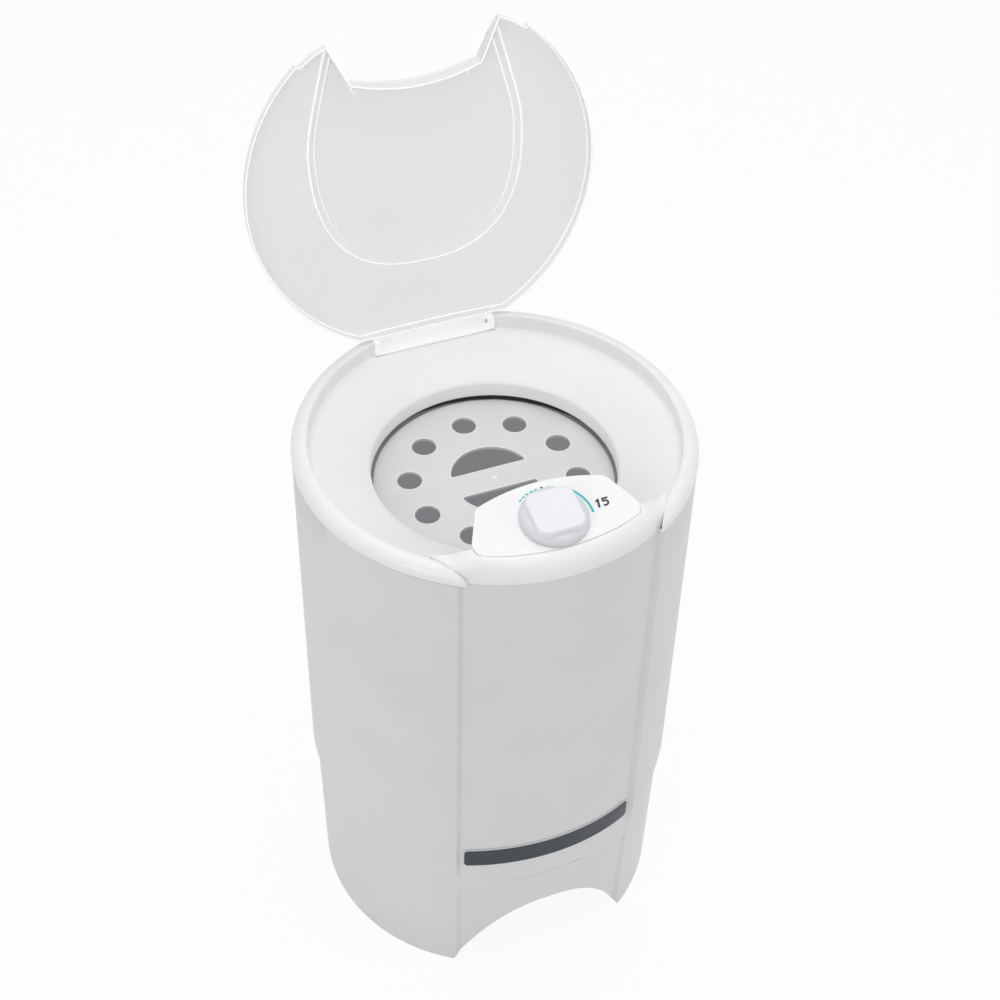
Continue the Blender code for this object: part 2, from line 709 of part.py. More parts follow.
def console_inner(steps_arc=5):
    """The console's inner edge from left to right, as (x, y, on the plate or not)."""
    back = console_back()
    half = [(0.0, NOTCH_MIDDLE_Y, True)]
    for k in range(1, steps_arc + 1):
        x = NOTCH_CORNER[0] * k / steps_arc
        half.append((x, notch_arc(x, NOTCH_MIDDLE_Y, NOTCH_CORNER), True))
    for share in (0.33, 0.66, 0.93):
        half.append((NOTCH_CORNER[0] + (NOTCH_TIP[0] - NOTCH_CORNER[0]) * share,
                     NOTCH_CORNER[1] + (NOTCH_TIP[1] - NOTCH_CORNER[1]) * share, True))
    half.append((NOTCH_TIP[0], NOTCH_TIP[1], False))
    for share in (0.34, 0.67, 1.0):
        half.append((NOTCH_TIP[0] + (back.x - NOTCH_TIP[0]) * share,
                     NOTCH_TIP[1] + (back.y - NOTCH_TIP[1]) * share, False))
    left = [(-x, y, flat) for x, y, flat in reversed(half[1:])]
    return left + half


def console_top(x, y):
    """Height of the console's crest, which falls from the plate to the ring at its ends."""
    ends = RING_Z + CONSOLE_CREST
    plate = plate_plane(y)
    share = smooth_step(abs(x), NOTCH_TIP[0] - 0.004, NOTCH_TIP[0] + 0.026)
    return plate + (ends - plate) * share


def console_rows(inner):
    """Rows of points across the console from its lip to its inner edge."""
    total = len(inner)
    lengths = [0.0]
    for a, b in zip(inner, inner[1:]):
        lengths.append(lengths[-1] + sqrt((b[0] - a[0]) ** 2 + (b[1] - a[1]) ** 2))
    rows = []
    noses = [0.0, 0.0, 0.08, 0.25, 0.5, 0.75, 1.0]
    for level, share in enumerate(noses):
        row = []
        for i in range(total):
            angle = CONSOLE_LIP_HALF_ANGLE * (2.0 * lengths[i] / lengths[-1] - 1.0)
            outer = polar(CONSOLE_FRONT_R, angle)
            end = Vector((inner[i][0], inner[i][1], 0.0))
            inwards = (end - outer).normalized()
            at = outer + inwards * (CONSOLE_NOSE * share)
            crest = console_top(at.x, at.y)
            foot = LIP_Z + (0.0 if level == 0 else 0.004)
            bulge = sqrt(max(1.0 - (1.0 - share) ** 2, 0.0))
            z = foot + (crest - foot) * bulge
            row.append((at, z, inwards))
        rows.append(row)
    for share in (0.012, 0.5, 1.0):
        row = []
        for i in range(total):
            nose_end, _, inwards = rows[len(noses) - 1][i]
            end = Vector((inner[i][0], inner[i][1], 0.0))
            at = nose_end + (end - nose_end) * share
            z = console_top(at.x, at.y)
            if inner[i][2]:
                z -= PLATE_T + GAP
            row.append((at, z, inwards))
        rows.append(row)
    return rows


def make_console():
    """Console housing: a rounded front that completes the ring, and a hollow top that carries the plate."""
    inner = console_inner()
    rows = console_rows(inner)
    shape = bmesh.new()
    top = [[shape.verts.new((at.x, at.y, z)) for at, z, _ in row] for row in rows]
    under = []
    last = len(rows) - 1
    edge = [shape.verts.new((at.x, at.y, z - CONSOLE_SKIRT)) for at, z, _ in rows[last]]
    edge_in = []
    for at, z, inwards in rows[last]:
        back = at - inwards * CONSOLE_WALL
        edge_in.append(shape.verts.new((back.x, back.y, z - CONSOLE_SKIRT)))
    for level in range(last, -1, -1):
        row = rows[level]
        line = []
        for at, z, inwards in row:
            if level == last:
                here = at - inwards * CONSOLE_WALL
                low = z - CONSOLE_WALL
            else:
                here = at + inwards * (CONSOLE_WALL * max(0.0, 1.0 - level / 6.0))
                low = z - CONSOLE_WALL * min(level / 3.0, 1.0)
            line.append(shape.verts.new((here.x, here.y, max(low, LIP_Z))))
        under.append(line)
    rings = top + [edge, edge_in] + under
    for low, high in zip(rings, rings[1:] + rings[:1]):
        for i in range(len(inner) - 1):
            corners = []
            for vert in (low[i], low[i + 1], high[i + 1], high[i]):
                if vert not in corners:
                    corners.append(vert)
            shape.faces.new(corners)
    for i in (0, len(inner) - 1):
        loop = [ring[i] for ring in rings]
        shape.faces.new(loop if i == 0 else reversed(loop))
    housing = piece("control_console", shape, WHITE)
    combine(housing, cutter("console_bore", disc(TIMER_SHAFT_R + 0.0012, -0.03, 0.02, 16), KNOB_FRAME))


KNOB_FRAME = empty("knob_axis", MACHINE, (0.0, KNOB_Y, KNOB_Z), (radians(CONSOLE_TILT), 0.0, 0.0))


def make_plate():
    """Flat control plate, tilted with the console's top and flush with its rounded front."""
    inner = console_inner()
    rows = console_rows(inner)
    front, back = rows[-3], rows[-1]
    flat = [i for i, point in enumerate(inner) if point[2]]
    fore = []
    aft = []
    for i in flat:
        start, _, inwards = front[i]
        fore.append(start + inwards * PLATE_EDGE_GAP)
        aft.append(back[i][0].copy())
    for line in (fore, aft):
        for end, beside in ((0, 1), (-1, -2)):
            line[end] += (line[beside] - line[end]).normalized() * PLATE_EDGE_GAP
    outline = fore + aft[::-1]
    rings = []
    for depth in (PLATE_T, 0.0):
        rings.append([Vector((p.x, p.y, plate_plane(p.y) - depth)) for p in outline])
    plate = piece("control_plate", lofted(rings), PLATE_WHITE)
    combine(plate, cutter("plate_bore", disc(TIMER_SHAFT_R + 0.0008, -0.01, 0.01, 16), KNOB_FRAME))


def make_timer():
    """Clockwork timer under the console, its shaft and the knob on it."""
    wide, deep, high = TIMER_SIZE
    top = -PLATE_T - GAP - CONSOLE_WALL - GAP
    body = box((-wide / 2, -deep / 2, top - high), (wide / 2, deep / 2, top))
    piece("timer_body", body, DARK_PLASTIC, KNOB_FRAME)
    shaft = disc(TIMER_SHAFT_R, top + GAP, KNOB_SKIRT_H - 0.001, 16)
    piece("timer_shaft", shaft, STEEL, KNOB_FRAME)
    rings = []
    low = GAP * 2
    for radius, z in ((KNOB_SKIRT_R, low), (KNOB_SKIRT_R, 0.0030), (KNOB_SKIRT_R - 0.0015, 0.0048),
                      (KNOB_SKIRT_R - 0.0040, KNOB_SKIRT_H)):
        rings.append([Vector((radius * cos(t), radius * sin(t), z)) for t in knob_turns()])
    for half, z in ((KNOB_GRIP, KNOB_SKIRT_H + 0.0006), (KNOB_GRIP - 0.0008, KNOB_SKIRT_H + KNOB_GRIP_H * 0.7),
                    (KNOB_GRIP - 0.0030, KNOB_SKIRT_H + KNOB_GRIP_H - 0.0007),
                    (KNOB_GRIP - 0.0060, KNOB_SKIRT_H + KNOB_GRIP_H)):
        rings.append(rounded_square(half, KNOB_GRIP_CORNER - (KNOB_GRIP - half) * 0.5, z, 5))
    knob = piece("timer_knob", lofted(rings), WHITE, KNOB_FRAME)
    bore = disc(TIMER_SHAFT_R + GAP, -0.01, KNOB_SKIRT_H - 0.0007, 16)
    combine(knob, cutter("knob_bore", bore, KNOB_FRAME))


def knob_turns():
    """Angles of the skirt's points, matched to the points of the square grip."""
    turns = []
    for quarter in range(4):
        for k in range(6):
            share = k / 5
            turns.append(radians(90.0 * quarter + 12.0 + 66.0 * share))
    return turns


def make_lid_switch():
    """Microswitch under the console that the lid's tab trips."""
    top = -PLATE_T - GAP - CONSOLE_WALL - GAP
    wide, deep, high = SWITCH_SIZE
    start = TIMER_SIZE[1] / 2 + SWITCH_GAP
    shape = box((-wide / 2, start, top - high), (wide / 2, start + deep, top))
    piece("lid_switch", shape, DARK_PLASTIC, KNOB_FRAME)


# The outer lid, built closed and then swung open on its hinge


def lid_profile():
    """The lid's upper surface from its edge to its middle."""
    points = [(LID_R, LID_FOOT_Z), (LID_R, LID_SHOULDER_Z - LID_ROLL), (LID_R - 0.0012, LID_SHOULDER_Z - 0.0018),
              (LID_R - LID_ROLL, LID_SHOULDER_Z)]
    for share in (0.88, 0.74, 0.56, 0.32):
        radius = (LID_R - LID_ROLL) * share
        points.append((radius, HINGE_Z + lid_top(radius)))
    return points


def make_lid():
    """Translucent lid with its notch for the console, its horseshoe bead and its hinge flap."""
    swing = empty("lid_hinge_axis", MACHINE, (0.0, HINGE_Y, HINGE_Z), (radians(-LID_OPEN), 0.0, 0.0))
    upper = lid_profile()
    walled = inset_profile(upper, LID_WALL, (1, 5, 7))
    count = len(upper)
    profile = [(0.0, LID_CROWN_Z - LID_WALL)] + walled[count:] + walled[:count] + [(0.0, LID_CROWN_Z)]
    profile = [(r, z - HINGE_Z) for r, z in profile]
    shape = turned(profile)
    bmesh.ops.translate(shape, verts=shape.verts, vec=(0.0, -HINGE_Y, 0.0))
    lid = piece("outer_lid", shape, CLEAR, swing)
    combine(lid, cutter("horseshoe_bead", bead_shape(), swing), "UNION")
    rear = box((-0.12, -LID_CUT, -0.02), (0.12, 0.02, 0.02))
    combine(lid, cutter("lid_rear_cut", rear, swing))
    combine(lid, cutter("lid_flap", flap_shape(), swing), "UNION")
    for side in (-1.0, 1.0):
        combine(lid, cutter("lid_knuckle", knuckle_shape(side), swing), "UNION")
    combine(lid, cutter("lid_notch_cut", notch_cutter(), swing))
    bore = disc(HINGE_PIN_R + GAP, -HINGE_HALF_WIDTH - 0.01, HINGE_HALF_WIDTH + 0.01, 16)
    combine(lid, cutter("lid_pin_bore", bore, swing, (0.0, 0.0, 0.0), HINGE_TURN))


def lid_top(radius):
    """Height of the lid's upper surface above the hinge line."""
    share = min(radius / (LID_R - LID_ROLL), 1.0)
    return LID_SHOULDER_Z - HINGE_Z + (LID_CROWN_Z - LID_SHOULDER_Z) * (1.0 - share ** LID_BULGE)


def horseshoe():
    """Plan of the lid's bead from its right arm round the back to its left arm."""
    half_width = LID_R - BEAD_SIDE_GAP
    reach = LID_R - BEAD_END_GAP + BEAD_MIDDLE_Y
    half = []
    for k in range(6):
        run = reach * (1.0 - k / 6)
        drawn_in = BEAD_SLOPE * (sqrt(run * run + BEAD_BEND * BEAD_BEND) - BEAD_BEND)
        half.append((half_width - drawn_in, BEAD_MIDDLE_Y - run))
    for k in range(11):
        turn = pi / 2 * k / 11
        across, along = (value ** (2 / BEAD_POWER) for value in (cos(turn), sin(turn)))
        half.append((half_width * across, BEAD_MIDDLE_Y + BEAD_LENGTH * along))
    return half + [(0.0, BEAD_MIDDLE_Y + BEAD_LENGTH)] + [(-x, y) for x, y in reversed(half)]


def bead_shape():
    """Horseshoe bead, half above and half below the lid's wall."""
    path = [Vector((x, y - HINGE_Y, lid_top(sqrt(x * x + y * y)) - LID_WALL / 2)) for x, y in horseshoe()]
    rings = []
    for i, point in enumerate(path):
        along = path[min(i + 1, len(path) - 1)] - path[max(i - 1, 0)]
        side = Vector((along.y, -along.x, 0.0)).normalized()
        ring = []
        for k in range(6):
            turn = pi / 3 * k + pi / 6
            ring.append(point + BEAD_R * (cos(turn) * side + sin(turn) * Vector((0.0, 0.0, 1.0))))
        rings.append(ring)
    shape = lofted(rings)
    bmesh.ops.triangulate(shape, faces=shape.faces)
    return shape


def flap_shape():
    """Quarter-round strip that closes the ring behind the lid, with a tongue into the lid's wall."""
    first, last = FLAP_ANGLES
    steps = 9
    inner = FLAP_R - FLAP_WALL
    rings = []
    for part in (-1.0, -0.67, -0.33, 0.0, 0.33, 0.67, 1.0):
        x = HINGE_HALF_WIDTH * part
        outline = []
        for k in range(steps + 1):
            turn = radians(first + (last - first) * k / steps)
            outline.append((FLAP_R * cos(turn), FLAP_R * sin(turn)))
        for y, down in ((-LID_CUT + 0.0010, 0.0006), (-LID_CUT - FLAP_TONGUE, 0.0006),
                        (-LID_CUT - FLAP_TONGUE, 0.0018), (-LID_CUT + 0.0010, 0.0019)):
            radius = sqrt(x * x + (HINGE_Y + y) ** 2)
            outline.append((y, lid_top(radius) - down))
        for k in range(steps + 1):
            turn = radians(last - 8.0 - (last - 8.0 - first) * k / steps)
            outline.append((inner * cos(turn), inner * sin(turn)))
        rings.append([Vector((x, y, z)) for y, z in outline])
    shape = lofted(rings)
    bmesh.ops.triangulate(shape, faces=shape.faces)
    return shape


def knuckle_shape(side):
    """End wall of the flap, which turns on a pin."""
    rings = []
    for x in (HINGE_HALF_WIDTH - 0.0060, HINGE_HALF_WIDTH - 0.0001):
        ring = []
        for k in range(20):
            turn = 2.0 * pi * k / 20
            ring.append(Vector((side * x, (FLAP_R - 0.0006) * cos(turn), (FLAP_R - 0.0006) * sin(turn))))
        rings.append(ring)
    return lofted(rings)


def notch_cutter():
    """Space in the lid for the console."""
    gap = LID_NOTCH_GAP
    right = [(NOTCH_CORNER[0] + gap, NOTCH_CORNER[1] + gap), (NOTCH_TIP[0] + gap, NOTCH_TIP[1] + gap)]
    back = console_back()
    right += [(back.x + gap, back.y + gap), (back.x + 0.01, back.y - 0.08)]
    arc = []
    for k in range(-9, 10):
        x = right[0][0] * k / 10
        arc.append((x, notch_arc(x, NOTCH_MIDDLE_Y + gap, right[0])))
    outline = arc + right + [(-x, y) for x, y in reversed(right)]
    shape = prism(outline, -0.03, 0.05)
    bmesh.ops.translate(shape, verts=shape.verts, vec=(0.0, -HINGE_Y, 0.0))
    return shape


# The drum


def make_basket():
    """Spinning basket with its flanged mouth."""
    dip = BASKET_FOOT_Z - BASKET_DIP
    outer = [(HUB_R + 0.0005, dip), (HUB_FLANGE_R + 0.0030, dip), (HUB_FLANGE_R + 0.0180, BASKET_FOOT_Z),
             (BASKET_R - 0.0090, BASKET_FOOT_Z), (BASKET_R - 0.0025, BASKET_FOOT_Z + 0.0025),
             (BASKET_R, BASKET_FOOT_Z + 0.0090), (BASKET_R, BASKET_SHOULDER_Z),
             (BASKET_R - 0.0100, BASKET_SHOULDER_Z + 0.0100), (BASKET_RIM_R + 0.0060, BASKET_RIM_Z - 0.0060),
             (BASKET_RIM_R, BASKET_RIM_Z - 0.0030), (BASKET_RIM_R, BASKET_RIM_Z), (BASKET_MOUTH_R, BASKET_RIM_Z)]
    piece("basket", turned(inset_profile(outer, BASKET_WALL, (4, 9)), 32), BASKET_PLASTIC)


def make_inner_lid():
    """Lift-out safety lid with ten round holes and two half-moon finger holes."""
    low = BASKET_RIM_Z + GAP
    high = low + INNER_LID_T
    edge = 0.0008
    profile = [(0.0, low), (INNER_LID_R, low), (INNER_LID_R, high - edge), (INNER_LID_R - edge, high), (0.0, high)]
    lid = piece("inner_lid", turned(profile, 48), INNER_LID_PLASTIC)
    for k in range(LID_HOLES):
        place = polar(INNER_LID_R * LID_HOLE_PITCH, 360.0 * k / LID_HOLES, low)
        combine(lid, cutter("lid_hole", disc(INNER_LID_R * LID_HOLE_SIZE, -0.01, 0.02, 16), MACHINE, place))
    for side in (-1.0, 1.0):
        combine(lid, cutter("moon_hole", moon_shape(side), MACHINE, (0.0, 0.0, low)))


def moon_shape(side):
    """Half-moon prism with softened ends."""
    radius, centre, edge = (INNER_LID_R * share for share in (MOON_SIZE, MOON_CENTRE, MOON_EDGE))
    reach = sqrt(radius ** 2 - (edge - centre) ** 2)
    start = degrees(atan2(edge - centre, reach))
    points = [(reach - 0.006, edge), (reach - 0.0015, edge + 0.0012)]
    steps = 10
    for k in range(steps + 1):
        turn = radians(start + 4.0 + (172.0 - 2.0 * start) * k / steps)
        points.append((radius * cos(turn), centre + radius * sin(turn)))
    points += [(-reach + 0.0015, edge + 0.0012), (-reach + 0.006, edge)]
    return prism([(x, side * y) for x, y in points], -0.01, 0.02)


# The tub and what carries it


def make_tub():
    """Water tub round the basket, with its outlet at the front."""
    foot = TUB_FOOT_Z
    outer = [(SEAL_R + GAP, foot), (TUB_R - 0.0150, foot), (TUB_R - 0.0040, foot + 0.0040), (TUB_R, foot + 0.0150),
             (TUB_R, TUB_TOP_Z - 0.006), (TUB_R - 0.0060, TUB_TOP_Z)]
    tub = piece("outer_tub", turned(inset_profile(outer, TUB_WALL, (2,)), 32), DARK_PLASTIC)
    hole = disc(SPOUT_R - 0.0020, -0.02, 0.03, 16)
    combine(tub, cutter("outlet_hole", hole, MACHINE, (0.0, SPOUT_Y, foot)))
    bore, top = SHAFT_R + RUNNING_GAP, foot + 0.0160
    seal = [(bore, foot), (SEAL_R, foot), (SEAL_R, foot + 0.0060), (SEAL_R - 0.0030, foot + 0.0110),
            (SHAFT_R + 0.0040, top), (bore, top)]
    piece("shaft_seal", turned(seal, 16), RUBBER)


def make_spout():
    """Outlet elbow from the tub to the arch."""
    start = TUB_FOOT_Z - GAP
    bend = 0.020
    path = [(0.0, SPOUT_Y, start), (0.0, SPOUT_Y, start - bend)]
    steps = 4
    for k in range(1, steps + 1):
        turn = radians(SPOUT_FALL * k / steps)
        path.append((0.0, SPOUT_Y - bend * (1.0 - cos(turn)), start - bend - bend * sin(turn)))
    piece("drain_spout", pipe(path, SPOUT_R, SPOUT_R - SPOUT_WALL), DARK_PLASTIC)


def make_base_frame():
    """Plate across the skirt that carries the suspension, with openings for the motor and the outlet."""
    angles = cabinet_angles()
    rings = []
    bore = MOTOR_R + FRAME_BORE_GAP
    for z, outer in ((FRAME_Z, True), (FRAME_Z + FRAME_T, True), (FRAME_Z + FRAME_T, False), (FRAME_Z, False)):
        ring = []
        for a in angles:
            radius = cabinet_r(a, FRAME_Z) - WALL - GAP - 0.0003 if outer else bore
            ring.append(polar(radius, a, z))
        rings.append(ring)
    shape = bmesh.new()
    skin_rings(shape, rings, loop=True)
    frame = piece("base_frame", shape, DARK_PLASTIC)
    hole = box((-0.020, SPOUT_Y - SPOUT_R - 0.019, -0.02), (0.020, SPOUT_Y + SPOUT_R + 0.005, 0.02))
    combine(frame, cutter("spout_hole", hole, MACHINE, (0.0, 0.0, FRAME_Z)))


def make_suspension():
    """Three rubber mounts and the steel plate on them, which carries the tub above and the motor below."""
    low, high = MOUNT_Z, MOUNT_Z + MOUNT_H
    for k in range(3):
        waist = [(0.0, low), (MOUNT_FOOT_R, low), (MOUNT_FOOT_R, low + 0.006), (MOUNT_WAIST_R, low + 0.010),
                 (MOUNT_WAIST_R, high - 0.010), (MOUNT_FOOT_R, high - 0.006), (MOUNT_FOOT_R, high), (0.0, high)]
        place = polar(MOUNT_R, 60.0 + 120.0 * k)
        piece("rubber_mount_" + str(k + 1), turned(waist, 12), RUBBER, MACHINE, place)
    plate = washer(SHAFT_R + 0.0050, PLATE_R, SUSPENSION_Z, SUSPENSION_Z + SUSPENSION_T, 30)
    piece("suspension_plate", plate, STEEL)


def make_motor():
    """Induction motor hung from the suspension plate on four studs."""
    foot, top = MOTOR_FOOT_Z, MOTOR_TOP_Z
    cover, wall = MOTOR_COVER_H, COVER_WALL
    bore, inner = SHAFT_R + RUNNING_GAP, MOTOR_R - 4 * COVER_WALL
    lower = [(bore, foot), (MOTOR_R / 2, foot), (MOTOR_R - 0.006, foot + wall), (MOTOR_R, foot + cover),
             (inner, foot + cover), (inner, foot + cover - wall), (bore, foot + cover - wall)]
    piece("motor_lower_cover", turned(lower, DRIVE_STEPS), ALUMINIUM)
    outside = MOTOR_R - 0.0015
    stator = washer(outside - STATOR_WALL, outside, foot + cover + GAP, top - cover - GAP, DRIVE_STEPS)
    piece("motor_stator", stator, STEEL)
    upper = [(r, foot + top - z) for r, z in reversed(lower)]
    piece("motor_upper_cover", turned(upper, DRIVE_STEPS), ALUMINIUM)
    rotor_low = foot + cover + 0.003
    rotor_high = top - cover - 0.003
    rotor_r = outside - STATOR_WALL - RUNNING_GAP
    piece("motor_rotor", washer(SHAFT_R + GAP, rotor_r, rotor_low, rotor_high, DRIVE_STEPS), STEEL)
    for k in range(4):
        place = polar(STUD_PITCH_R, 45.0 + 90.0 * k)
        piece("motor_stud_" + str(k + 1), disc(STUD_R, top + GAP, SUSPENSION_Z - GAP, 12), STEEL, MACHINE, place)


def make_drive():
    """Shaft from the motor to the basket, its hub and nut, and the brake's drum."""
    bore = SHAFT_R + GAP
    low = BASKET_FOOT_Z - BASKET_DIP
    nut_low = low + HUB_H
    piece("drive_shaft", disc(SHAFT_R, MOTOR_FOOT_Z + 0.0020, nut_low + NUT_H + 0.0030, DRIVE_STEPS), STEEL)
    seat = low + BASKET_WALL + GAP
    hub = [(bore, low - 0.008), (HUB_R, low - 0.008), (HUB_R, seat), (HUB_FLANGE_R, seat),
           (HUB_FLANGE_R, low + 0.0060), (HUB_R + 0.0100, low + 0.0180), (HUB_R + 0.0020, nut_low - GAP),
           (bore, nut_low - GAP)]
    piece("basket_hub", turned(hub, DRIVE_STEPS), ALUMINIUM)
    piece("hub_nut", washer(bore / cos(radians(30)), NUT_R, nut_low, nut_low + NUT_H, 6), STEEL)
    piece("brake_drum", washer(bore, BRAKE_DRUM_R, BRAKE_Z, BRAKE_Z + BRAKE_DRUM_H, DRIVE_STEPS), ALUMINIUM)


def make_brake():
    """Lever whose pad bears on the brake drum, on a headed pin that hangs from the suspension plate."""
    across, along = BRAKE_PIVOT
    axis = empty("brake_axis", MACHINE, (across, along, BRAKE_Z))
    outside = BRAKE_DRUM_R + GAP + BRAKE_PAD_T
    outline = [(across - 0.006, along + 0.003), (across, along + 0.007), (across + 0.006, along + 0.003),
               (across + 0.006, along - 0.006), (outside + 0.0065, 0.014), (outside + 0.0055, -0.012),
               (across, -0.044), (across - 0.005, -0.046), (outside + GAP, -0.012), (outside + GAP, 0.014),
               (across - 0.006, along - 0.006)]
    outline = [(x - across, y - along) for x, y in outline]
    lever = piece("brake_lever", prism(outline, 0.0030, 0.0060), STEEL, axis)
    combine(lever, cutter("lever_bore", disc(BRAKE_PIN_R + 0.0004, -0.01, 0.02, 12), axis))
    pad = sector(BRAKE_DRUM_R + GAP, outside, *BRAKE_PAD_ANGLES, 0.0020, 0.0090, 8)
    bmesh.ops.translate(pad, verts=pad.verts, vec=(-across, -along, 0.0))
    piece("brake_pad", pad, RUBBER, axis)
    top = SUSPENSION_Z - BRAKE_Z - GAP
    head = BRAKE_PIN_R + 0.0020
    pin = [(0.0, 0.0010), (head, 0.0010), (head, 0.0027), (BRAKE_PIN_R, 0.0027), (BRAKE_PIN_R, top), (0.0, top)]
    piece("brake_pivot", turned(pin, 12), STEEL, axis)


def make_capacitor():
    """Run capacitor hung under the base frame in its clamp."""
    radius, length = CAPACITOR_R, CAPACITOR_H
    clamp_r = radius + GAP + CLAMP_WALL
    turn = (radians(90.0), 0.0, 0.0)
    place = (*CAPACITOR_PLACE, FRAME_Z - GAP - clamp_r - 0.0015)
    profile = [(0.0, 0.0), (radius - 0.0015, 0.0), (radius, 0.0015), (radius, length - 0.0020),
               (radius - 0.0015, length), (0.0, length)]
    piece("capacitor", turned(profile, 18), DARK_PLASTIC, MACHINE, place, turn)
    low, high = CLAMP_SPAN
    ring = piece("capacitor_clamp", washer(radius + GAP, clamp_r, low, high, 18), STEEL, MACHINE, place, turn)
    tab = box((-0.0220, clamp_r - 0.0010, low), (0.0220, clamp_r + 0.0015, high))
    combine(ring, cutter("clamp_tab", tab, MACHINE, place, turn), "UNION")


def centre_on_footprint():
    """Moves the whole machine so that the origin is under the middle of its bounding box."""
    bpy.context.view_layer.update()
    graph = bpy.context.evaluated_depsgraph_get()
    low, high = 1e9, -1e9
    for obj in bpy.data.objects:
        if obj.type != "MESH" or obj.hide_render:
            continue
        shown = obj.evaluated_get(graph)
        mesh = shown.to_mesh()
        reach = [(shown.matrix_world @ vert.co).y for vert in mesh.vertices]
        low, high = min(low, *reach), max(high, *reach)
        shown.to_mesh_clear()
    MACHINE.location.y = -(low + high) / 2


make_cabinet()
make_gland()
make_feet()
make_badge()
make_deck()
make_hinge_pins()
make_console()
make_plate()
make_timer()
make_lid_switch()
make_lid()
make_basket()
make_inner_lid()
make_tub()
make_spout()
make_base_frame()
make_suspension()
make_motor()
make_drive()
make_brake()
make_capacitor()
centre_on_footprint()
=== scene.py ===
"""Spin dryer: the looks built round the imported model."""

import json
from math import atan2, cos, degrees, pi, radians, sin, sqrt

import bmesh
import bpy
from mathutils import Matrix, Vector


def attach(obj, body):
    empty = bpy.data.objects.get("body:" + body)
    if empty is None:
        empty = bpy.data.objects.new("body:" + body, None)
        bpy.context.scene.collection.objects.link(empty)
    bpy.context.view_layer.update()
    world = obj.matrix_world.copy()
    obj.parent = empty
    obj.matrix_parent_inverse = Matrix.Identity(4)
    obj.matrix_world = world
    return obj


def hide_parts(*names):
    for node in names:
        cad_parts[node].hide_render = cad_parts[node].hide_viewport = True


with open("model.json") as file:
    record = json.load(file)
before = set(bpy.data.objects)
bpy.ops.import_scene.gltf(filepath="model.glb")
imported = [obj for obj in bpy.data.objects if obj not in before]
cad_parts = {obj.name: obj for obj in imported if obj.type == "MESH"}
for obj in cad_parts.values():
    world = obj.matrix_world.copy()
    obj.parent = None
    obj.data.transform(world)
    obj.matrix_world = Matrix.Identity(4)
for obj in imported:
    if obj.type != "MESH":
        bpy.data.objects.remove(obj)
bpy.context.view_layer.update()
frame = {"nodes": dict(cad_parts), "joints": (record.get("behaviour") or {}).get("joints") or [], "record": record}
NODES = frame["nodes"]
JOINTS = {joint["name"]: joint for joint in frame["joints"]}
AXIS_Y = JOINTS["basket_spin"]["pos_m"][1]


# Materials


class Nodes:
    """Builds one material's node tree."""

    def __init__(self, name):
        self.material = bpy.data.materials.new(name)
        self.material.use_nodes = True
        self.tree = self.material.node_tree
        self.shader = self.tree.nodes["Principled BSDF"]

    def add(self, kind, **settings):
        node = self.tree.nodes.new(kind)
        for key, value in settings.items():
            if hasattr(node, key):
                setattr(node, key, value)
            else:
                node.inputs[key.replace("_", " ")].default_value = value
        return node

    def link(self, source, target):
        self.tree.links.new(source, target)

    def drive(self, socket, source):
        self.link(source, self.shader.inputs[socket])

    def set(self, **values):
        for key, value in values.items():
            self.shader.inputs[key.replace("_", " ")].default_value = value


def coordinates(nodes):
    """Object coordinates in metres."""
    return nodes.add("ShaderNodeTexCoord").outputs["Object"]


def noise(nodes, where, scale, detail=2.0, roughness=0.5):
    """Value of a noise texture."""
    node = nodes.add("ShaderNodeTexNoise", Scale=scale, Detail=detail, Roughness=roughness)
    nodes.link(where, node.inputs["Vector"])
    return node.outputs["Fac"]


def ramp(nodes, source, stops):
    """Colours over a value, from stops of (position, colour)."""
    node = nodes.add("ShaderNodeValToRGB")
    elements = node.color_ramp.elements
    while len(elements) < len(stops):
        elements.new(0.5)
    for element, (position, colour) in zip(elements, stops):
        element.position = position
        element.color = (*colour, 1.0)
    nodes.link(source, node.inputs["Fac"])
    return node.outputs["Color"]


def greys(nodes, source, values, stops=(0.3, 0.7)):
    """Ramp between two greys, or two values of roughness."""
    return ramp(nodes, source, [(stop, (value,) * 3) for stop, value in zip(stops, values)])


def cool(value):
    """Grey with a touch of blue."""
    return value, value + 0.005, value + 0.01


def plastic(name, dark, light, roughness, grain=0.02, grain_scale=2400.0, **settings):
    """Moulded plastic: two close shades in wide clouds, roughness that drifts, and a fine mould grain."""
    nodes = Nodes(name)
    where = coordinates(nodes)
    clouds = noise(nodes, where, 9.0, 3.0)
    nodes.drive("Base Color", ramp(nodes, clouds, ((0.3, dark), (0.7, light))))
    nodes.drive("Roughness", greys(nodes, noise(nodes, where, 35.0, 4.0), roughness))
    bump = nodes.add("ShaderNodeBump", Strength=grain * 5, Distance=0.00008)
    nodes.link(noise(nodes, where, grain_scale, 2.0), bump.inputs["Height"])
    nodes.drive("Normal", bump.outputs["Normal"])
    nodes.set(**settings)
    return nodes.material


def metal(name, dark, light, roughness, stretch=(1.0, 1.0, 40.0)):
    """Bare metal with faint streaks."""
    nodes = Nodes(name)
    mapping = nodes.add("ShaderNodeMapping", vector_type="POINT")
    mapping.inputs["Scale"].default_value = stretch
    nodes.link(coordinates(nodes), mapping.inputs["Vector"])
    streaks = noise(nodes, mapping.outputs["Vector"], 60.0, 4.0)
    nodes.drive("Base Color", ramp(nodes, streaks, ((0.3, dark), (0.7, light))))
    nodes.drive("Roughness", greys(nodes, streaks, roughness))
    nodes.set(Metallic=1.0)
    return nodes.material


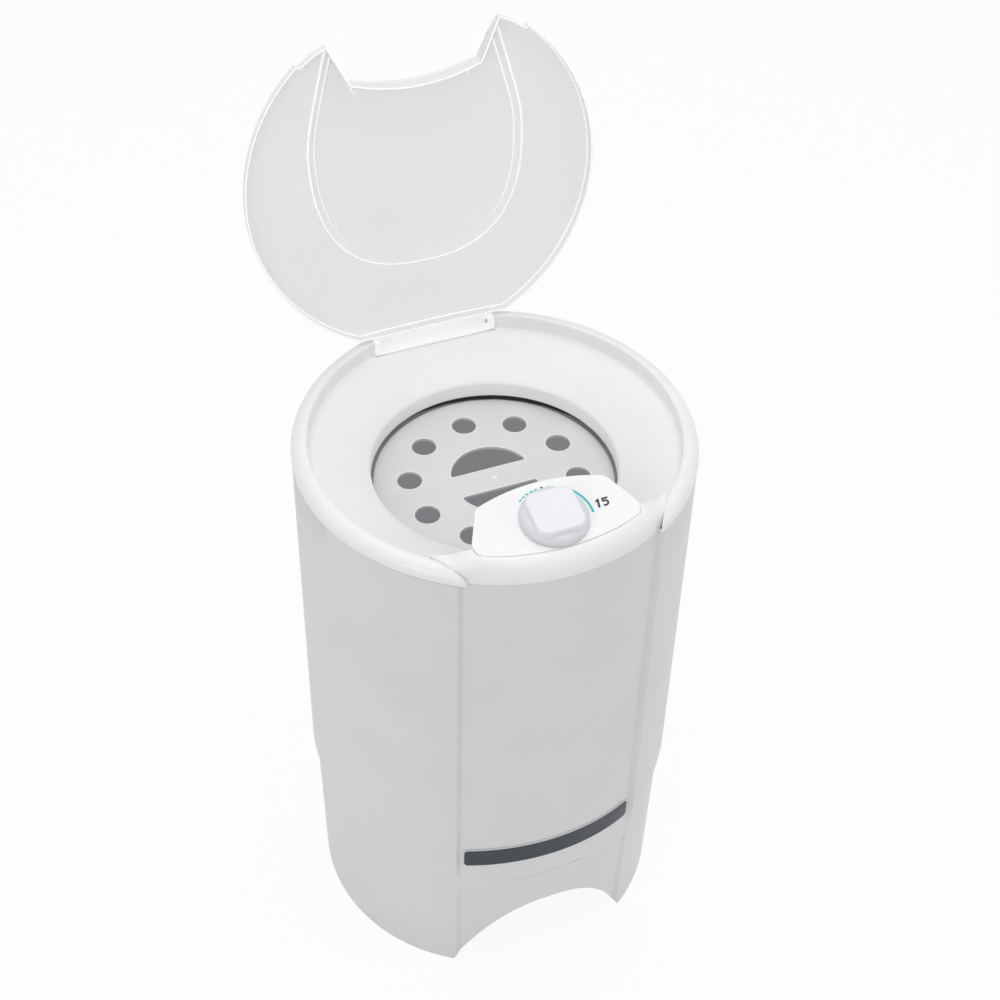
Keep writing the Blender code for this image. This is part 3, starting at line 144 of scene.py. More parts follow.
def milky(name, least=0.42, glow=0.0):
    """Frosted clear plastic: it lets some of the background through, less at a grazing angle; a glow above 0 adds
    painted light as emission.
    """
    nodes = Nodes(name)
    where = coordinates(nodes)
    clouds = noise(nodes, where, 6.0, 2.0)
    shade = ramp(nodes, clouds, ((0.3, cool(0.90)), (0.7, cool(0.92))))
    nodes.drive("Base Color", shade)
    nodes.drive("Roughness", greys(nodes, clouds, (0.20, 0.24), (0.2, 0.8)))
    edge = nodes.add("ShaderNodeLayerWeight", Blend=0.35)
    cover = nodes.add("ShaderNodeMapRange", To_Min=least, To_Max=0.92)
    nodes.link(edge.outputs["Facing"], cover.inputs["Value"])
    nodes.drive("Alpha", cover.outputs["Result"])
    nodes.set(IOR=1.45)
    # Painted light: emission in the plastic's own shade, though the plastic is no lamp.
    if glow:
        nodes.drive("Emission Color", shade)
        nodes.set(Emission_Strength=glow)
    return nodes.material


# The cabinet is the same white plastic as the deck: its greyer colour is painted shade for its upright sides.
BODY_PAINTED_SHADE = plastic("body_plastic_painted_shade", cool(0.73), cool(0.76), (0.42, 0.5), 0.05, 1500.0)
WHITE = plastic("deck_plastic", cool(0.88), cool(0.91), (0.28, 0.36))
PLATE = plastic("plate_plastic", cool(0.90), cool(0.92), (0.22, 0.28))
LID = milky("milky_plastic")
# The lid's moulded lines glow: painted highlights along its ridges and edges.
LINE_PAINTED_HIGHLIGHT = milky("milky_line_painted_highlight", 0.88, 0.30)
# The flap glows: painted light that lifts the shadow the open lid casts into it.
FLAP = milky("milky_flap_painted_light", 0.75, 0.22)
SLATE = plastic("slate_strip", (0.013, 0.020, 0.030), (0.018, 0.026, 0.037), (0.35, 0.45))
RUBBER = plastic("black_rubber", (0.020, 0.020, 0.021), (0.032, 0.032, 0.033), (0.7, 0.85), 0.1, 900.0)
GREY = plastic("grey_plastic", cool(0.17), cool(0.21), (0.45, 0.6))
# The basket's faint emission is painted light that brightens its shaded inside.
BASKET_PAINTED_GLOW = plastic("basket_plastic", (0.50, 0.505, 0.515), (0.55, 0.555, 0.565), (0.35, 0.5),
                 Emission_Color=(0.9, 0.92, 0.94, 1.0), Emission_Strength=0.10)
INNER = plastic("inner_lid_plastic", cool(0.72), cool(0.76), (0.3, 0.4))
# Same plastic as the inner lid: the raised rims and the nub are paler, a painted highlight along their edges.
RIM = plastic("rim_painted_highlight", cool(0.86), cool(0.88), (0.3, 0.4))
KNOB = plastic("knob_plastic", (0.83, 0.84, 0.865), (0.85, 0.86, 0.885), (0.25, 0.32))
# The knob is one plastic: the skirt's darker copy is painted shade for its lower side.
KNOB_SIDE_PAINTED_SHADE = plastic("knob_side_painted_shade", (0.72, 0.73, 0.75), (0.75, 0.76, 0.78), (0.25, 0.32))
FRAME = plastic("badge_frame", (0.62, 0.64, 0.66), (0.66, 0.68, 0.70), (0.3, 0.4))
TEAL = plastic("teal_ink", (0.045, 0.50, 0.52), (0.055, 0.53, 0.55), (0.4, 0.5), 0.0)
INK = plastic("dark_ink", (0.025, 0.028, 0.032), (0.032, 0.035, 0.04), (0.4, 0.5), 0.0)
STEEL = metal("zinc_steel", (0.50, 0.51, 0.53), (0.62, 0.63, 0.65), (0.28, 0.42))
ALUMINIUM = metal("cast_aluminium", (0.52, 0.53, 0.54), (0.62, 0.63, 0.64), (0.4, 0.55), (1.0, 1.0, 1.0))

SKINS = {
    "body_white": BODY_PAINTED_SHADE, "white_plastic": WHITE, "plate_white": PLATE, "clear_lid": LID, "slate_strip": SLATE,
    "black_rubber": RUBBER, "zinc_steel": STEEL, "grey_plastic": GREY, "basket_plastic": BASKET_PAINTED_GLOW,
    "inner_lid_plastic": INNER, "cast_aluminium": ALUMINIUM,
}


def dress_nodes():
    """Gives each CAD node the finish of its slot."""
    for entry in frame["record"]["subparts"]:
        mesh = NODES[entry["node"]].data
        mesh.materials.clear()
        mesh.materials.append(SKINS[entry["material_slot"]])


dress_nodes()


# Shapes

MM = 0.001
SIDES = ((-1.0, "left"), (1.0, "right"))


def spot(x, y, z):
    """Point in the row frame from millimetres measured from the drum's axis."""
    return Vector((x * MM, y * MM + AXIS_Y, z * MM))


def polar(radius, angle):
    """x and y at an angle in degrees, counted from the front towards the right."""
    turn = radians(angle)
    return radius * sin(turn), -radius * cos(turn)


def around(radius, angle, z):
    """Point at an angle and a height, in millimetres."""
    x, y = polar(radius, angle)
    return spot(x, y, z)


def circle(radius, steps, x=0.0, y=0.0):
    """Even points of a circle round a place."""
    turns = [2 * pi * k / steps for k in range(steps)]
    return [(x + radius * cos(turn), y + radius * sin(turn)) for turn in turns]


def mixed(a, b, share):
    """x and y at a share of the way from a to b."""
    return a[0] + (b[0] - a[0]) * share, a[1] + (b[1] - a[1]) * share


def neighbours(items, i, closed=False):
    """The items before and after one, in a list that ends or goes round."""
    if closed:
        return items[i - 1], items[(i + 1) % len(items)]
    return items[max(i - 1, 0)], items[min(i + 1, len(items) - 1)]


def soft_step(value, low, high):
    """0 up to low, 1 from high, and a smooth curve between."""
    share = min(max((value - low) / (high - low), 0.0), 1.0)
    return share * share * (3.0 - 2.0 * share)


def between(low, high, count):
    """count + 1 even values from low to high."""
    return [low + (high - low) * k / count for k in range(count + 1)]


def in_scene(name, data):
    """Object in the scene, of a mesh, a lamp or a camera."""
    made = bpy.data.objects.new(name, data)
    bpy.context.scene.collection.objects.link(made)
    return made


def mesh_of(name, shape):
    """Turns a bmesh into a mesh."""
    mesh = bpy.data.meshes.new(name)
    shape.to_mesh(mesh)
    shape.free()
    return mesh


def piece(name, shape, skin, body, replaced=(), sharp=35.0):
    """Makes a bmesh into a piece that rides on a body."""
    bmesh.ops.remove_doubles(shape, verts=shape.verts, dist=1e-6)
    bmesh.ops.recalc_face_normals(shape, faces=shape.faces)
    mesh = mesh_of(name, shape)
    mesh.shade_smooth()
    mesh.set_sharp_from_angle(angle=radians(sharp))
    mesh.materials.append(skin)
    made = in_scene(name, mesh)
    if body:
        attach(made, body)
    if replaced:
        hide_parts(*replaced)
    return made


def rows_to_faces(shape, rows, around_row=False, around_rows=False):
    """Quads between rows of points; each way can be closed into a loop."""
    grid = [[shape.verts.new(point) for point in row] for row in rows]
    columns = len(rows[0])
    pairs = list(zip(grid, grid[1:]))
    if around_rows:
        pairs.append((grid[-1], grid[0]))
    for low, high in pairs:
        for i in range(columns if around_row else columns - 1):
            j = (i + 1) % columns
            shape.faces.new((low[i], low[j], high[j], high[i]))
    return grid


def looped(rings):
    """Solid through closed rings of points, the last joined to the first."""
    shape = bmesh.new()
    rows_to_faces(shape, rings, True, True)
    return shape


def capped(rings):
    """Solid through closed rings of points, with flat ends."""
    shape = bmesh.new()
    grid = rows_to_faces(shape, rings, True)
    shape.faces.new(grid[0])
    shape.faces.new(grid[-1])
    return shape


def cut_with(target, shapes, operation="DIFFERENCE"):
    """Applies booleans with helper solids, which are then removed."""
    for shape in shapes:
        helper = piece("helper", shape, SLATE, None)
        step = target.modifiers.new("step", "BOOLEAN")
        step.operation = operation
        step.solver = "EXACT"
        step.object = helper
        bpy.context.view_layer.update()
        shown = target.evaluated_get(bpy.context.evaluated_depsgraph_get())
        mesh = bpy.data.meshes.new_from_object(shown)
        target.modifiers.clear()
        target.data = mesh
        bpy.data.objects.remove(helper)


def soften(target, width, segments=2, angle=40.0):
    """Rounds a piece's edges and keeps its faces flat beside them."""
    bevel = target.modifiers.new("edge", "BEVEL")
    bevel.width = width
    bevel.segments = segments
    bevel.limit_method = "ANGLE"
    bevel.angle_limit = radians(angle)
    bevel.harden_normals = True
    bevel.use_clamp_overlap = True


# Cabinet, in millimetres

SIDE_R, SKIRT_TOP_R, SKIRT_FOOT_R = 212.0, 207.5, 204.2
WALL = 2.5
CABINET_TOP, CABINET_FOOT = 665.7, 1.5
WAIST_Z, WAIST_DROP, WAIST_ANGLE, WAIST_RUN, WAIST_STEP = 225.0, 32.0, 60.0, 29.0, 20.0
PANEL_ANGLE, PANEL_INSET, PANEL_EDGE = 31.0, 6.0, 0.6
CREASE_Z, CREASE_DROP, CREASE_STEP, CREASE_DEPTH = 177.0, 26.0, 6.0, 2.5
ARCH_ANGLE, ARCH_RISE, ARCH_POWER = 32.4, 116.5, 2.2
GRIP_FOOT, GRIP_DEPTH, GRIP_ANGLE, GRIP_EDGE = 624.0, 10.8, 16.0, 0.8


def folded(angle):
    """Angle from the front to either side."""
    turn = abs(angle) % 360.0
    return min(turn, 360.0 - turn)


def waist(angle):
    """Height of the waist, which dips round the front."""
    across = folded(angle)
    if across >= WAIST_ANGLE:
        return WAIST_Z
    share = min((WAIST_ANGLE - across) / WAIST_RUN, 1.0)
    return WAIST_Z - WAIST_DROP * share * share


def crease(angle):
    """Height of the fold across the front panel."""
    share = min(folded(angle) / PANEL_ANGLE, 1.0)
    return CREASE_Z - CREASE_DROP * share * share


def arch(angle):
    """Height of the cabinet's lower edge, which rises to an arch at the front."""
    across = folded(angle)
    if across >= ARCH_ANGLE:
        return CABINET_FOOT
    return CABINET_FOOT + ARCH_RISE * (1.0 - (across / ARCH_ANGLE) ** ARCH_POWER)


def cabinet_r(angle, z):
    """Outside radius of the cabinet."""
    across = folded(angle)
    line = waist(angle)
    skirt = SKIRT_FOOT_R + (SKIRT_TOP_R - SKIRT_FOOT_R) * min(z / (line - WAIST_STEP), 1.0)
    side = skirt + (SIDE_R - SKIRT_TOP_R) * soft_step(z, line - WAIST_STEP, line)
    fold = crease(angle)
    front = SIDE_R - PANEL_INSET - CREASE_DEPTH + CREASE_DEPTH * soft_step(z, fold - CREASE_STEP, fold)
    front -= (SKIRT_TOP_R - SKIRT_FOOT_R) * (1.0 - min(z / fold, 1.0))
    radius = front + (side - front) * soft_step(across, PANEL_ANGLE - PANEL_EDGE, PANEL_ANGLE + PANEL_EDGE)
    sideways = abs(across - 90.0)
    if sideways < GRIP_ANGLE and z > GRIP_FOOT:
        depth = GRIP_DEPTH * (z - GRIP_FOOT) / (CABINET_TOP - GRIP_FOOT)
        radius -= depth * (1.0 - soft_step(sideways, GRIP_ANGLE - GRIP_EDGE, GRIP_ANGLE))
    return radius


def cabinet_angles():
    """Angles right round, closer at the edges of the panel, the arch and the grips."""
    panel, side = PANEL_ANGLE, 90.0
    half = between(0.0, panel - 1.6, 14) + between(panel - PANEL_EDGE, panel + PANEL_EDGE, 6)
    half += between(ARCH_ANGLE - 0.3, ARCH_ANGLE + 0.3, 2) + between(ARCH_ANGLE + 1.6, side - 18.0, 24)
    near, far = GRIP_ANGLE - 1.2, GRIP_ANGLE + 0.4
    half += between(side - far, side - near, 8) + between(side - 13.5, side + 13.5, 18)
    half += between(side + near, side + far, 8) + between(side + 18.0, 180.0, 36)
    return half + [360.0 - a for a in reversed(half[1:-1])]


def cabinet_heights(angle):
    """Heights from foot to top, closer at the crease, the waist and the grips' feet."""
    foot, fold, line = arch(angle), crease(angle), waist(angle)
    rows = between(foot, fold - CREASE_STEP - 2.0, 6) + between(fold - CREASE_STEP, fold, 5)
    rows += between(line - WAIST_STEP, line, 6) + between(line + 12.0, GRIP_FOOT - 6.0, 10)
    return rows + between(GRIP_FOOT - 0.5, GRIP_FOOT + 0.5, 2) + between(GRIP_FOOT + 4.0, CABINET_TOP, 6)


def cabinet_face(columns, inset):
    """Rows of points over one face of the cabinet's wall."""
    rows = []
    for k in range(len(columns[0][1])):
        rows.append([around(cabinet_r(a, heights[k]) - inset, a, heights[k]) for a, heights in columns])
    return rows


def make_cabinet():
    """Moulded shell with its recessed front panel, waist, arch and grips."""
    columns = [(a, cabinet_heights(a)) for a in cabinet_angles()]
    shape = looped(cabinet_face(columns, 0.0) + cabinet_face(columns, WALL)[::-1])
    piece("cabinet", shape, BODY_PAINTED_SHADE, "cabinet", ("cabinet_shell",), 30.0)


# Deck

LIP_R, LIP_Z, LIP_SIDE = 212.5, 666.0, 3.0
RING_R, RING_Z, RING_WALL_R = 198.0, 681.0, 195.0
LEDGE_R, LEDGE_Z, MOUTH_R, MOUTH_Z, NECK_Z = 190.5, 664.5, 131.0, 636.0, 619.0
DISH_STRAIGHT = 0.72
DECK_WALL = 2.6
HINGE_Y, HINGE_Z, HINGE_HALF = 186.6, 672.0, 70.0
TROUGH_R, TROUGH_END = 12.2, 0.8
# Inner and outer radius, half angle, foot and top of the blocks behind the hinge
HINGE_SHELF = (182.0, 207.0, 23.85, HINGE_Z - 17.0, 661.3)
HINGE_BLOCK = (196.3, 206.4, 23.45, 656.0, 677.5)
CONSOLE_R, CONSOLE_ANGLE = 206.5, 32.0
CONSOLE_BACK_R, CONSOLE_BACK_ANGLE = RING_WALL_R - 0.6, 40.5
SEAT_GAP, SEAT_REACH = 0.3, 120.0
RING_CORE, RING_END_SIZE, RING_POINTS = (203.0, 671.0), 0.975, 19
NOTCH_CORNER, NOTCH_TIP, NOTCH_MIDDLE = (69.5, -120.0), (90.5, -163.5), -107.5


def deck_profile():
    """Upper surface from the lip over the ring and down the dish to the neck."""
    rise, run = RING_Z - LIP_Z - LIP_SIDE, LIP_R - RING_R
    points = [(LIP_R - 0.6, LIP_Z), (LIP_R, LIP_Z + 0.7), (LIP_R, LIP_Z + LIP_SIDE)]
    for k in range(1, 13):
        turn = radians(90.0 * k / 12)
        points.append((RING_R + run * cos(turn), LIP_Z + LIP_SIDE + rise * sin(turn)))
    points += [(RING_R - 1.6, RING_Z - 0.3), (RING_WALL_R + 0.4, RING_Z - 1.3), (RING_WALL_R, RING_Z - 3.0)]
    points += [(RING_WALL_R, LEDGE_Z + 1.2), (RING_WALL_R - 0.4, LEDGE_Z + 0.3), (RING_WALL_R - 1.3, LEDGE_Z)]
    points += [(LEDGE_R + 1.0, LEDGE_Z), (LEDGE_R, LEDGE_Z - 0.15)]
    run, fall = LEDGE_R - MOUTH_R - 3.0, LEDGE_Z - MOUTH_Z - 1.5
    for k in range(1, 15):
        share = k / 14
        sunk = DISH_STRAIGHT * share + (1.0 - DISH_STRAIGHT) * share * share
        points.append((LEDGE_R - run * share, LEDGE_Z - fall * sunk))
    points += [(MOUTH_R + 1.6, MOUTH_Z + 0.4), (MOUTH_R + 0.6, MOUTH_Z - 0.6), (MOUTH_R, MOUTH_Z - 2.2)]
    return points + [(MOUTH_R, NECK_Z)]


def walled(points, thickness, skipped=()):
    """Closes an open profile into a wall on its left, with nothing opposite the skipped points."""
    hidden = []
    for i, (r, z) in enumerate(points):
        if i in skipped:
            continue
        back, ahead = neighbours(points, i)
        run, rise = ahead[0] - back[0], ahead[1] - back[1]
        length = sqrt(run * run + rise * rise)
        hidden.append((r - rise / length * thickness, z + run / length * thickness))
    return points + hidden[::-1]


def prism(outline, low, high):
    """Upright solid over an outline."""
    return capped([[spot(x, y, z) for x, y in outline] for z in (low, high)])


def sector(inner, outer, half_angle, low, high):
    """Block round the back between two radii and two heights."""
    arc = between(180.0 - half_angle, 180.0 + half_angle, 24)
    return prism([polar(outer, a) for a in arc] + [polar(inner, a) for a in reversed(arc)], low, high)


def rod(radius, start, end, y, z, steps):
    """Cylinder along X."""
    return capped([[spot(x, *point) for point in circle(radius, steps, y, z)] for x in (start, end)])


def console_end(radius):
    """Right end of the console in plan: its point on a circle and the way to its lip."""
    back = Vector(polar(radius, CONSOLE_BACK_ANGLE))
    return back, (Vector(polar(CONSOLE_R, CONSOLE_ANGLE)) - back).normalized()


def console_side(grow):
    """Right side of the console in plan, from beyond its lip to its inner edge."""
    back, along = console_end(CONSOLE_BACK_R)
    out = Vector((-along.y, along.x)) * grow
    far, near = back + along * SEAT_REACH + out, back - along * grow + out
    return [tuple(far), tuple(near), (NOTCH_TIP[0], NOTCH_TIP[1] + 2 * grow), NOTCH_CORNER]


def make_ring_ends():
    """Walls that close the hollow ring where the console stands in it."""
    back, along = console_end(RING_WALL_R)
    outline = [mixed(RING_CORE, point, RING_END_SIZE) for point in deck_profile()[:RING_POINTS]]
    for side, name in SIDES:
        rings = []
        for grow in (SEAT_GAP + 0.1, SEAT_GAP + 2.1):
            base = back + Vector((-along.y, along.x)) * grow
            reach = base.dot(along)
            ring = []
            for r, z in outline:
                at = base + along * (sqrt(reach ** 2 - base.length_squared + r * r) - reach)
                ring.append(spot(side * at.x, at.y, z))
            rings.append(ring)
        piece("ring_end_" + name, capped(rings), WHITE, "cabinet", (), 40.0)


def make_deck():
    """Lip, ring, dish and neck, with the hinge's trough and the console's seat."""
    angles = between(0.0, 360.0, 180)[:-1]
    profile = walled(deck_profile(), DECK_WALL, (1, 15, 16))
    shape = looped([[around(r, a, z) for a in angles] for r, z in profile])
    deck = piece("deck", shape, WHITE, "cabinet", ("top_deck",), 40.0)
    cut_with(deck, [sector(*HINGE_SHELF), sector(*HINGE_BLOCK)], "UNION")
    side = console_side(SEAT_GAP)
    seat = prism(side + [(-x, y) for x, y in reversed(side)], LIP_Z - SEAT_GAP, RING_Z + 30.0)
    half, fore, aft = HINGE_HALF + TROUGH_END, HINGE_Y - TROUGH_R, HINGE_Y + TROUGH_R
    above = prism([(-half, fore), (half, fore), (half, aft), (-half, aft)], HINGE_Z, RING_Z + 10.0)
    cut_with(deck, [rod(TROUGH_R, -half, half, HINGE_Y, HINGE_Z, 48), above, seat])
    deck.data.set_sharp_from_angle(angle=radians(30))


# Lid, in closed coordinates: x and y from the drum's axis, z from the hinge's line

LID_R, LID_FOOT, LID_SHOULDER, LID_CROWN, LID_POWER = 193.0, -7.0, 4.0, 17.0, 2.2
LID_OPEN = 99.3
LID_CENTRE = (0.0, 60.0)
LID_CUT = HINGE_Y - 13.5
LID_WALL, LID_ROLL, LID_BEND = 1.9, 4.5, 3.0
LID_MIDDLE, LID_CORNER, LID_TIP = -105.7, (71.2, -118.2), (92.2, -161.8)
LID_EAR, LID_EAR_SAG, LID_SIDE_ANGLE = (121.5, -145.0), 1.5, 40.2
BEAD_HALF, BEAD_MIDDLE, BEAD_LENGTH, BEAD_POWER = 118.3, -38.0, 139.0, 2.5
BEAD_ARM, BEAD_CLOSE, BEAD_BEND = 117.0, 0.3, 30.0
BEAD_RISE, BEAD_SLOPE, BEAD_REACH, BEAD_SLANT = 4.0, 11.0, 128.0, 0.97
SHOE_APART, SHOE_ARM = 7.5, 0.36
SHOE_R, SHOE_GROWTH = 0.60, 0.80
ARM_R, ARM_TAPER = 1.3, 1.0
EDGE_LINE_R, SHOULDER_INSET, SHOULDER_DROP, FOOT_INSET, FOOT_RISE = 0.9, 2.3, 1.6, 0.9, 0.6
RIB_START, RIB_END, RIB_R, RIB_TAPER = (71.5, -118.0), (60.5, -98.0), 1.5, 1.1
TAB_FOOT, TAB_END, TAB_Y, TAB_R = (0.0, -97.5), (5.5, -104.5), -100.0, 1.1
FLAP_R, FLAP_INNER_R, FLAP_START, FLAP_END, FLAP_INNER_END = 11.2, 9.2, -12.0, 110.0, 102.0
# Where the flap meets the lid: distance behind its cut edge and height over its dome
FLAP_JOINT = ((-0.5, 1.2), (-3.0, 0.3), (-3.0, -1.6), (1.5, -1.7))
# Distance in from the flap's end, and radius
FLAP_END_RINGS = ((6.0, 9.9), (5.6, 10.5), (0.5, 10.5), (0.1, 9.9))


def opened(x, y, z):
    """Row frame point of a closed-lid point, with the lid swung to its stop."""
    turn = radians(-LID_OPEN)
    back = y - HINGE_Y
    return spot(x, HINGE_Y + back * cos(turn) - z * sin(turn), HINGE_Z + back * sin(turn) + z * cos(turn))


def arm_half(run):
    """Half the width between the arms of the raised line, at a distance in front of its middle."""
    return BEAD_HALF - BEAD_CLOSE * (sqrt(run * run + BEAD_BEND ** 2) - BEAD_BEND)


def horseshoe(steps=1):
    """Plan of the raised line on the lid, from the right ear round the back to the left ear."""
    half = []
    for k in range(8 * steps):
        run = BEAD_ARM * (1.0 - k / (8 * steps))
        half.append((arm_half(run), BEAD_MIDDLE - run))
    for k in range(15 * steps):
        turn = pi / 2 * k / (15 * steps)
        x, y = cos(turn) ** (2 / BEAD_POWER), sin(turn) ** (2 / BEAD_POWER)
        half.append((BEAD_HALF * x, BEAD_MIDDLE + BEAD_LENGTH * y))
    return half + [(0.0, BEAD_MIDDLE + BEAD_LENGTH)] + [(-x, y) for x, y in reversed(half)]


def beyond_horseshoe(x, y):
    """Rough distance outside the raised line, negative inside it."""
    if y < BEAD_MIDDLE:
        return (abs(x) - arm_half(BEAD_MIDDLE - y)) * BEAD_SLANT
    across, back = abs(x) / BEAD_HALF, (y - BEAD_MIDDLE) / BEAD_LENGTH
    return ((across ** BEAD_POWER + back ** BEAD_POWER) ** (1 / BEAD_POWER) - 1.0) * BEAD_REACH


def lid_outline():
    """Edge of the lid from the middle of its notch to the right and round."""
    right = []
    for k in range(16):
        share = k / 16
        right.append((LID_CORNER[0] * share, LID_MIDDLE + (LID_CORNER[1] - LID_MIDDLE) * share ** 2))
    right += [mixed(LID_CORNER, LID_TIP, k / 8) for k in range(8)]
    for k in range(9):
        x, y = mixed(LID_TIP, LID_EAR, k / 8)
        right.append((x, y - LID_EAR_SAG * sin(pi * k / 8)))
    end = 180.0 - degrees(atan2(sqrt(LID_R ** 2 - LID_CUT ** 2), LID_CUT))
    right += [polar(LID_R, a) for a in between(LID_SIDE_ANGLE, end, 70)]
    reach = right[-1][0]
    right += [(reach * (1 - k / 20), LID_CUT) for k in range(1, 21)]
    return right + [(-x, y) for x, y in reversed(right[1:-1])]


def dome_height(x, y):
    """Height of the lid's dome at a plan point, without its raised middle."""
    share = min(sqrt(x * x + y * y) / (LID_R - LID_ROLL), 1.0)
    return LID_SHOULDER + (LID_CROWN - LID_SHOULDER) * (1.0 - share ** LID_POWER)


def lid_height(x, y):
    """Height of the lid's upper surface at a plan point."""
    return dome_height(x, y) + BEAD_RISE * (1.0 - soft_step(beyond_horseshoe(x, y), -BEAD_SLOPE, 0.0))


def moved_in(x, y, inset):
    """Plan point moved towards the lid's middle."""
    cx, cy = LID_CENTRE
    share = inset / sqrt((x - cx) ** 2 + (y - cy) ** 2)
    return x - (x - cx) * share, y - (y - cy) * share


def lid_rows():
    """Rings of points from near the middle to the edge, then round the bend and down the skirt."""
    edge = lid_outline()
    rows = []
    for share in [0.12, 0.24, 0.36, 0.46] + between(0.5, 0.96, 92):
        inner = [mixed(LID_CENTRE, point, share) for point in edge]
        rows.append([(x, y, lid_height(x, y)) for x, y in inner])
    tops = [lid_height(*moved_in(x, y, LID_BEND)) for x, y in edge]
    for angle in between(0.0, 90.0, 4):
        turn = radians(angle)
        inset, drop = LID_BEND * (1.0 - sin(turn)), LID_BEND * (1.0 - cos(turn))
        rows.append([(*moved_in(x, y, inset), top - drop) for (x, y), top in zip(edge, tops)])
    shoulder = rows[-1]
    for share in (0.35, 0.7, 1.0):
        rows.append([(x, y, z + (LID_FOOT - z) * share) for x, y, z in shoulder])
    return rows


def make_lid():
    """Translucent lid, standing open."""
    shape = bmesh.new()
    grid = rows_to_faces(shape, [[opened(*p) for p in row] for row in lid_rows()], True)
    pole = shape.verts.new(opened(*LID_CENTRE, lid_height(*LID_CENTRE)))
    for a, b in zip(grid[0], grid[0][1:] + grid[0][:1]):
        shape.faces.new((a, b, pole))
    lid = piece("lid_cover", shape, LID, "lid", ("outer_lid",), 40.0)
    thick = lid.modifiers.new("wall", "SOLIDIFY")
    thick.thickness = LID_WALL * MM
    thick.offset = -1.0


def lid_line(name, path, radius, closed=False):
    """Moulded line: a tube along closed-lid points, with a radius for each share of its length."""
    points = [Vector(p) for p in path]
    rings = []
    for i, point in enumerate(points):
        back, ahead = neighbours(points, i, closed)
        along = (ahead - back).normalized()
        side = Vector((along.y, -along.x, 0.0)).normalized()
        up = side.cross(along)
        reach = radius(i / (len(points) - 1))
        rings.append([opened(*(point + reach * (a * side + b * up))) for a, b in circle(1.0, 10)])
    shape = looped(rings) if closed else capped(rings)
    # The line's material glows as a painted highlight.
    piece(name, shape, LINE_PAINTED_HIGHLIGHT, "lid", (), 60.0)


def inside_edge(inset, height):
    """The lid's outline moved inwards, at a height for each place."""
    path = [moved_in(x, y, inset) for x, y in lid_outline()]
    return [(x, y, height(x, y)) for x, y in path]


def under_lid(path):
    """Plan points laid on the underside of the lid's wall."""
    return [(x, y, lid_height(x, y) - LID_WALL) for x, y in path]


def shoe_path(offset):
    """The raised line moved outwards, on the underside of the lid's wall."""
    points = [Vector(p) for p in horseshoe(5)]
    path = []
    for i, point in enumerate(points):
        back, ahead = neighbours(points, i)
        along = ahead - back
        path.append(point + Vector((along.y, -along.x)).normalized() * offset)
    return under_lid(path)


def make_lid_lines():
    """Lines of the lid, made bright by a painted glow that stands for highlights: horseshoe, shoulder, foot, ribs
    at the notch and the tab at its middle.
    """
    lid_line("lid_shoe_outer", shoe_path(0.0), lambda share: SHOE_R + SHOE_GROWTH * abs(2 * share - 1) ** 1.5)
    inner = shoe_path(-SHOE_APART)
    arm = int(len(inner) * SHOE_ARM)
    for name, path in (("right", inner[:arm]), ("left", inner[:-arm - 1:-1])):
        lid_line("lid_shoe_" + name, path, lambda share: ARM_R - ARM_TAPER * share)
    shoulder = inside_edge(SHOULDER_INSET, lambda x, y: lid_height(x, y) - SHOULDER_DROP)
    lid_line("lid_shoulder_line", shoulder, lambda share: EDGE_LINE_R, True)
    foot = inside_edge(FOOT_INSET, lambda x, y: LID_FOOT + FOOT_RISE)
    lid_line("lid_foot_line", foot, lambda share: EDGE_LINE_R, True)
    tab_z = lid_height(TAB_END[0], TAB_Y) - LID_WALL
    for side, name in SIDES:
        rib = [mixed(RIB_START, RIB_END, share) for share in between(0.0, 1.0, 10)]
        rib = under_lid([(side * x, y) for x, y in rib])
        lid_line("lid_rib_" + name, rib, lambda share: RIB_R - RIB_TAPER * share)
        tab = [mixed(TAB_FOOT, TAB_END, share) for share in between(0.0, 1.0, 6)]
        lid_line("lid_tab_" + name, [(side * x, y, tab_z) for x, y in tab], lambda share: TAB_R)


def flap_arc(x, radius, first, last):
    """Arc about the hinge's line, between two angles in degrees."""
    turns = [radians(a) for a in between(first, last, 18)]
    return [opened(x, HINGE_Y + radius * cos(turn), radius * sin(turn)) for turn in turns]


def make_flap():
    """Rolled strip behind the lid that turns in the trough, with its end walls."""
    rings = []
    for x in between(-HINGE_HALF, HINGE_HALF, 28):
        top = dome_height(x, LID_CUT - 2.0)
        joint = [opened(x, LID_CUT + back, top + rise) for back, rise in FLAP_JOINT]
        outer = flap_arc(x, FLAP_R, FLAP_START, FLAP_END)
        rings.append(outer + joint + flap_arc(x, FLAP_INNER_R, FLAP_INNER_END, FLAP_START))
    # The flap and its end walls glow with painted light in place of the lid's shadow.
    piece("lid_flap", capped(rings), FLAP, "lid", (), 40.0)
    for side, name in SIDES:
        rings = []
        for inset, radius in FLAP_END_RINGS:
            x = side * (HINGE_HALF - inset)
            rings.append([opened(x, *point) for point in circle(radius, 32, HINGE_Y)])
        piece("flap_end_" + name, capped(rings), FLAP, "lid", (), 40.0)


# Console, knob and what is printed on the plate

NOSE, NOSE_STEPS, NOSE_FOOT = 16.8, 12, LIP_Z + 4.0
TOP_SHARES = (0.012, 0.25, 0.5, 0.75, 1.0)
CONSOLE_SKIRT, CONSOLE_WALL, CREST = 12.0, 2.5, 2.5
CREST_FROM, CREST_TO = NOTCH_TIP[0] - 4.0, NOTCH_TIP[0] + 26.0
SEAM_IN, SEAM_OUT, SEAM_DEPTH = -2.0, 0.8, 0.4
PLATE_T, PLATE_GAP, PLATE_CORNER = 2.2, 0.4, 5.0
PRINT_LOW, PRINT_TOP = -0.05, 0.09
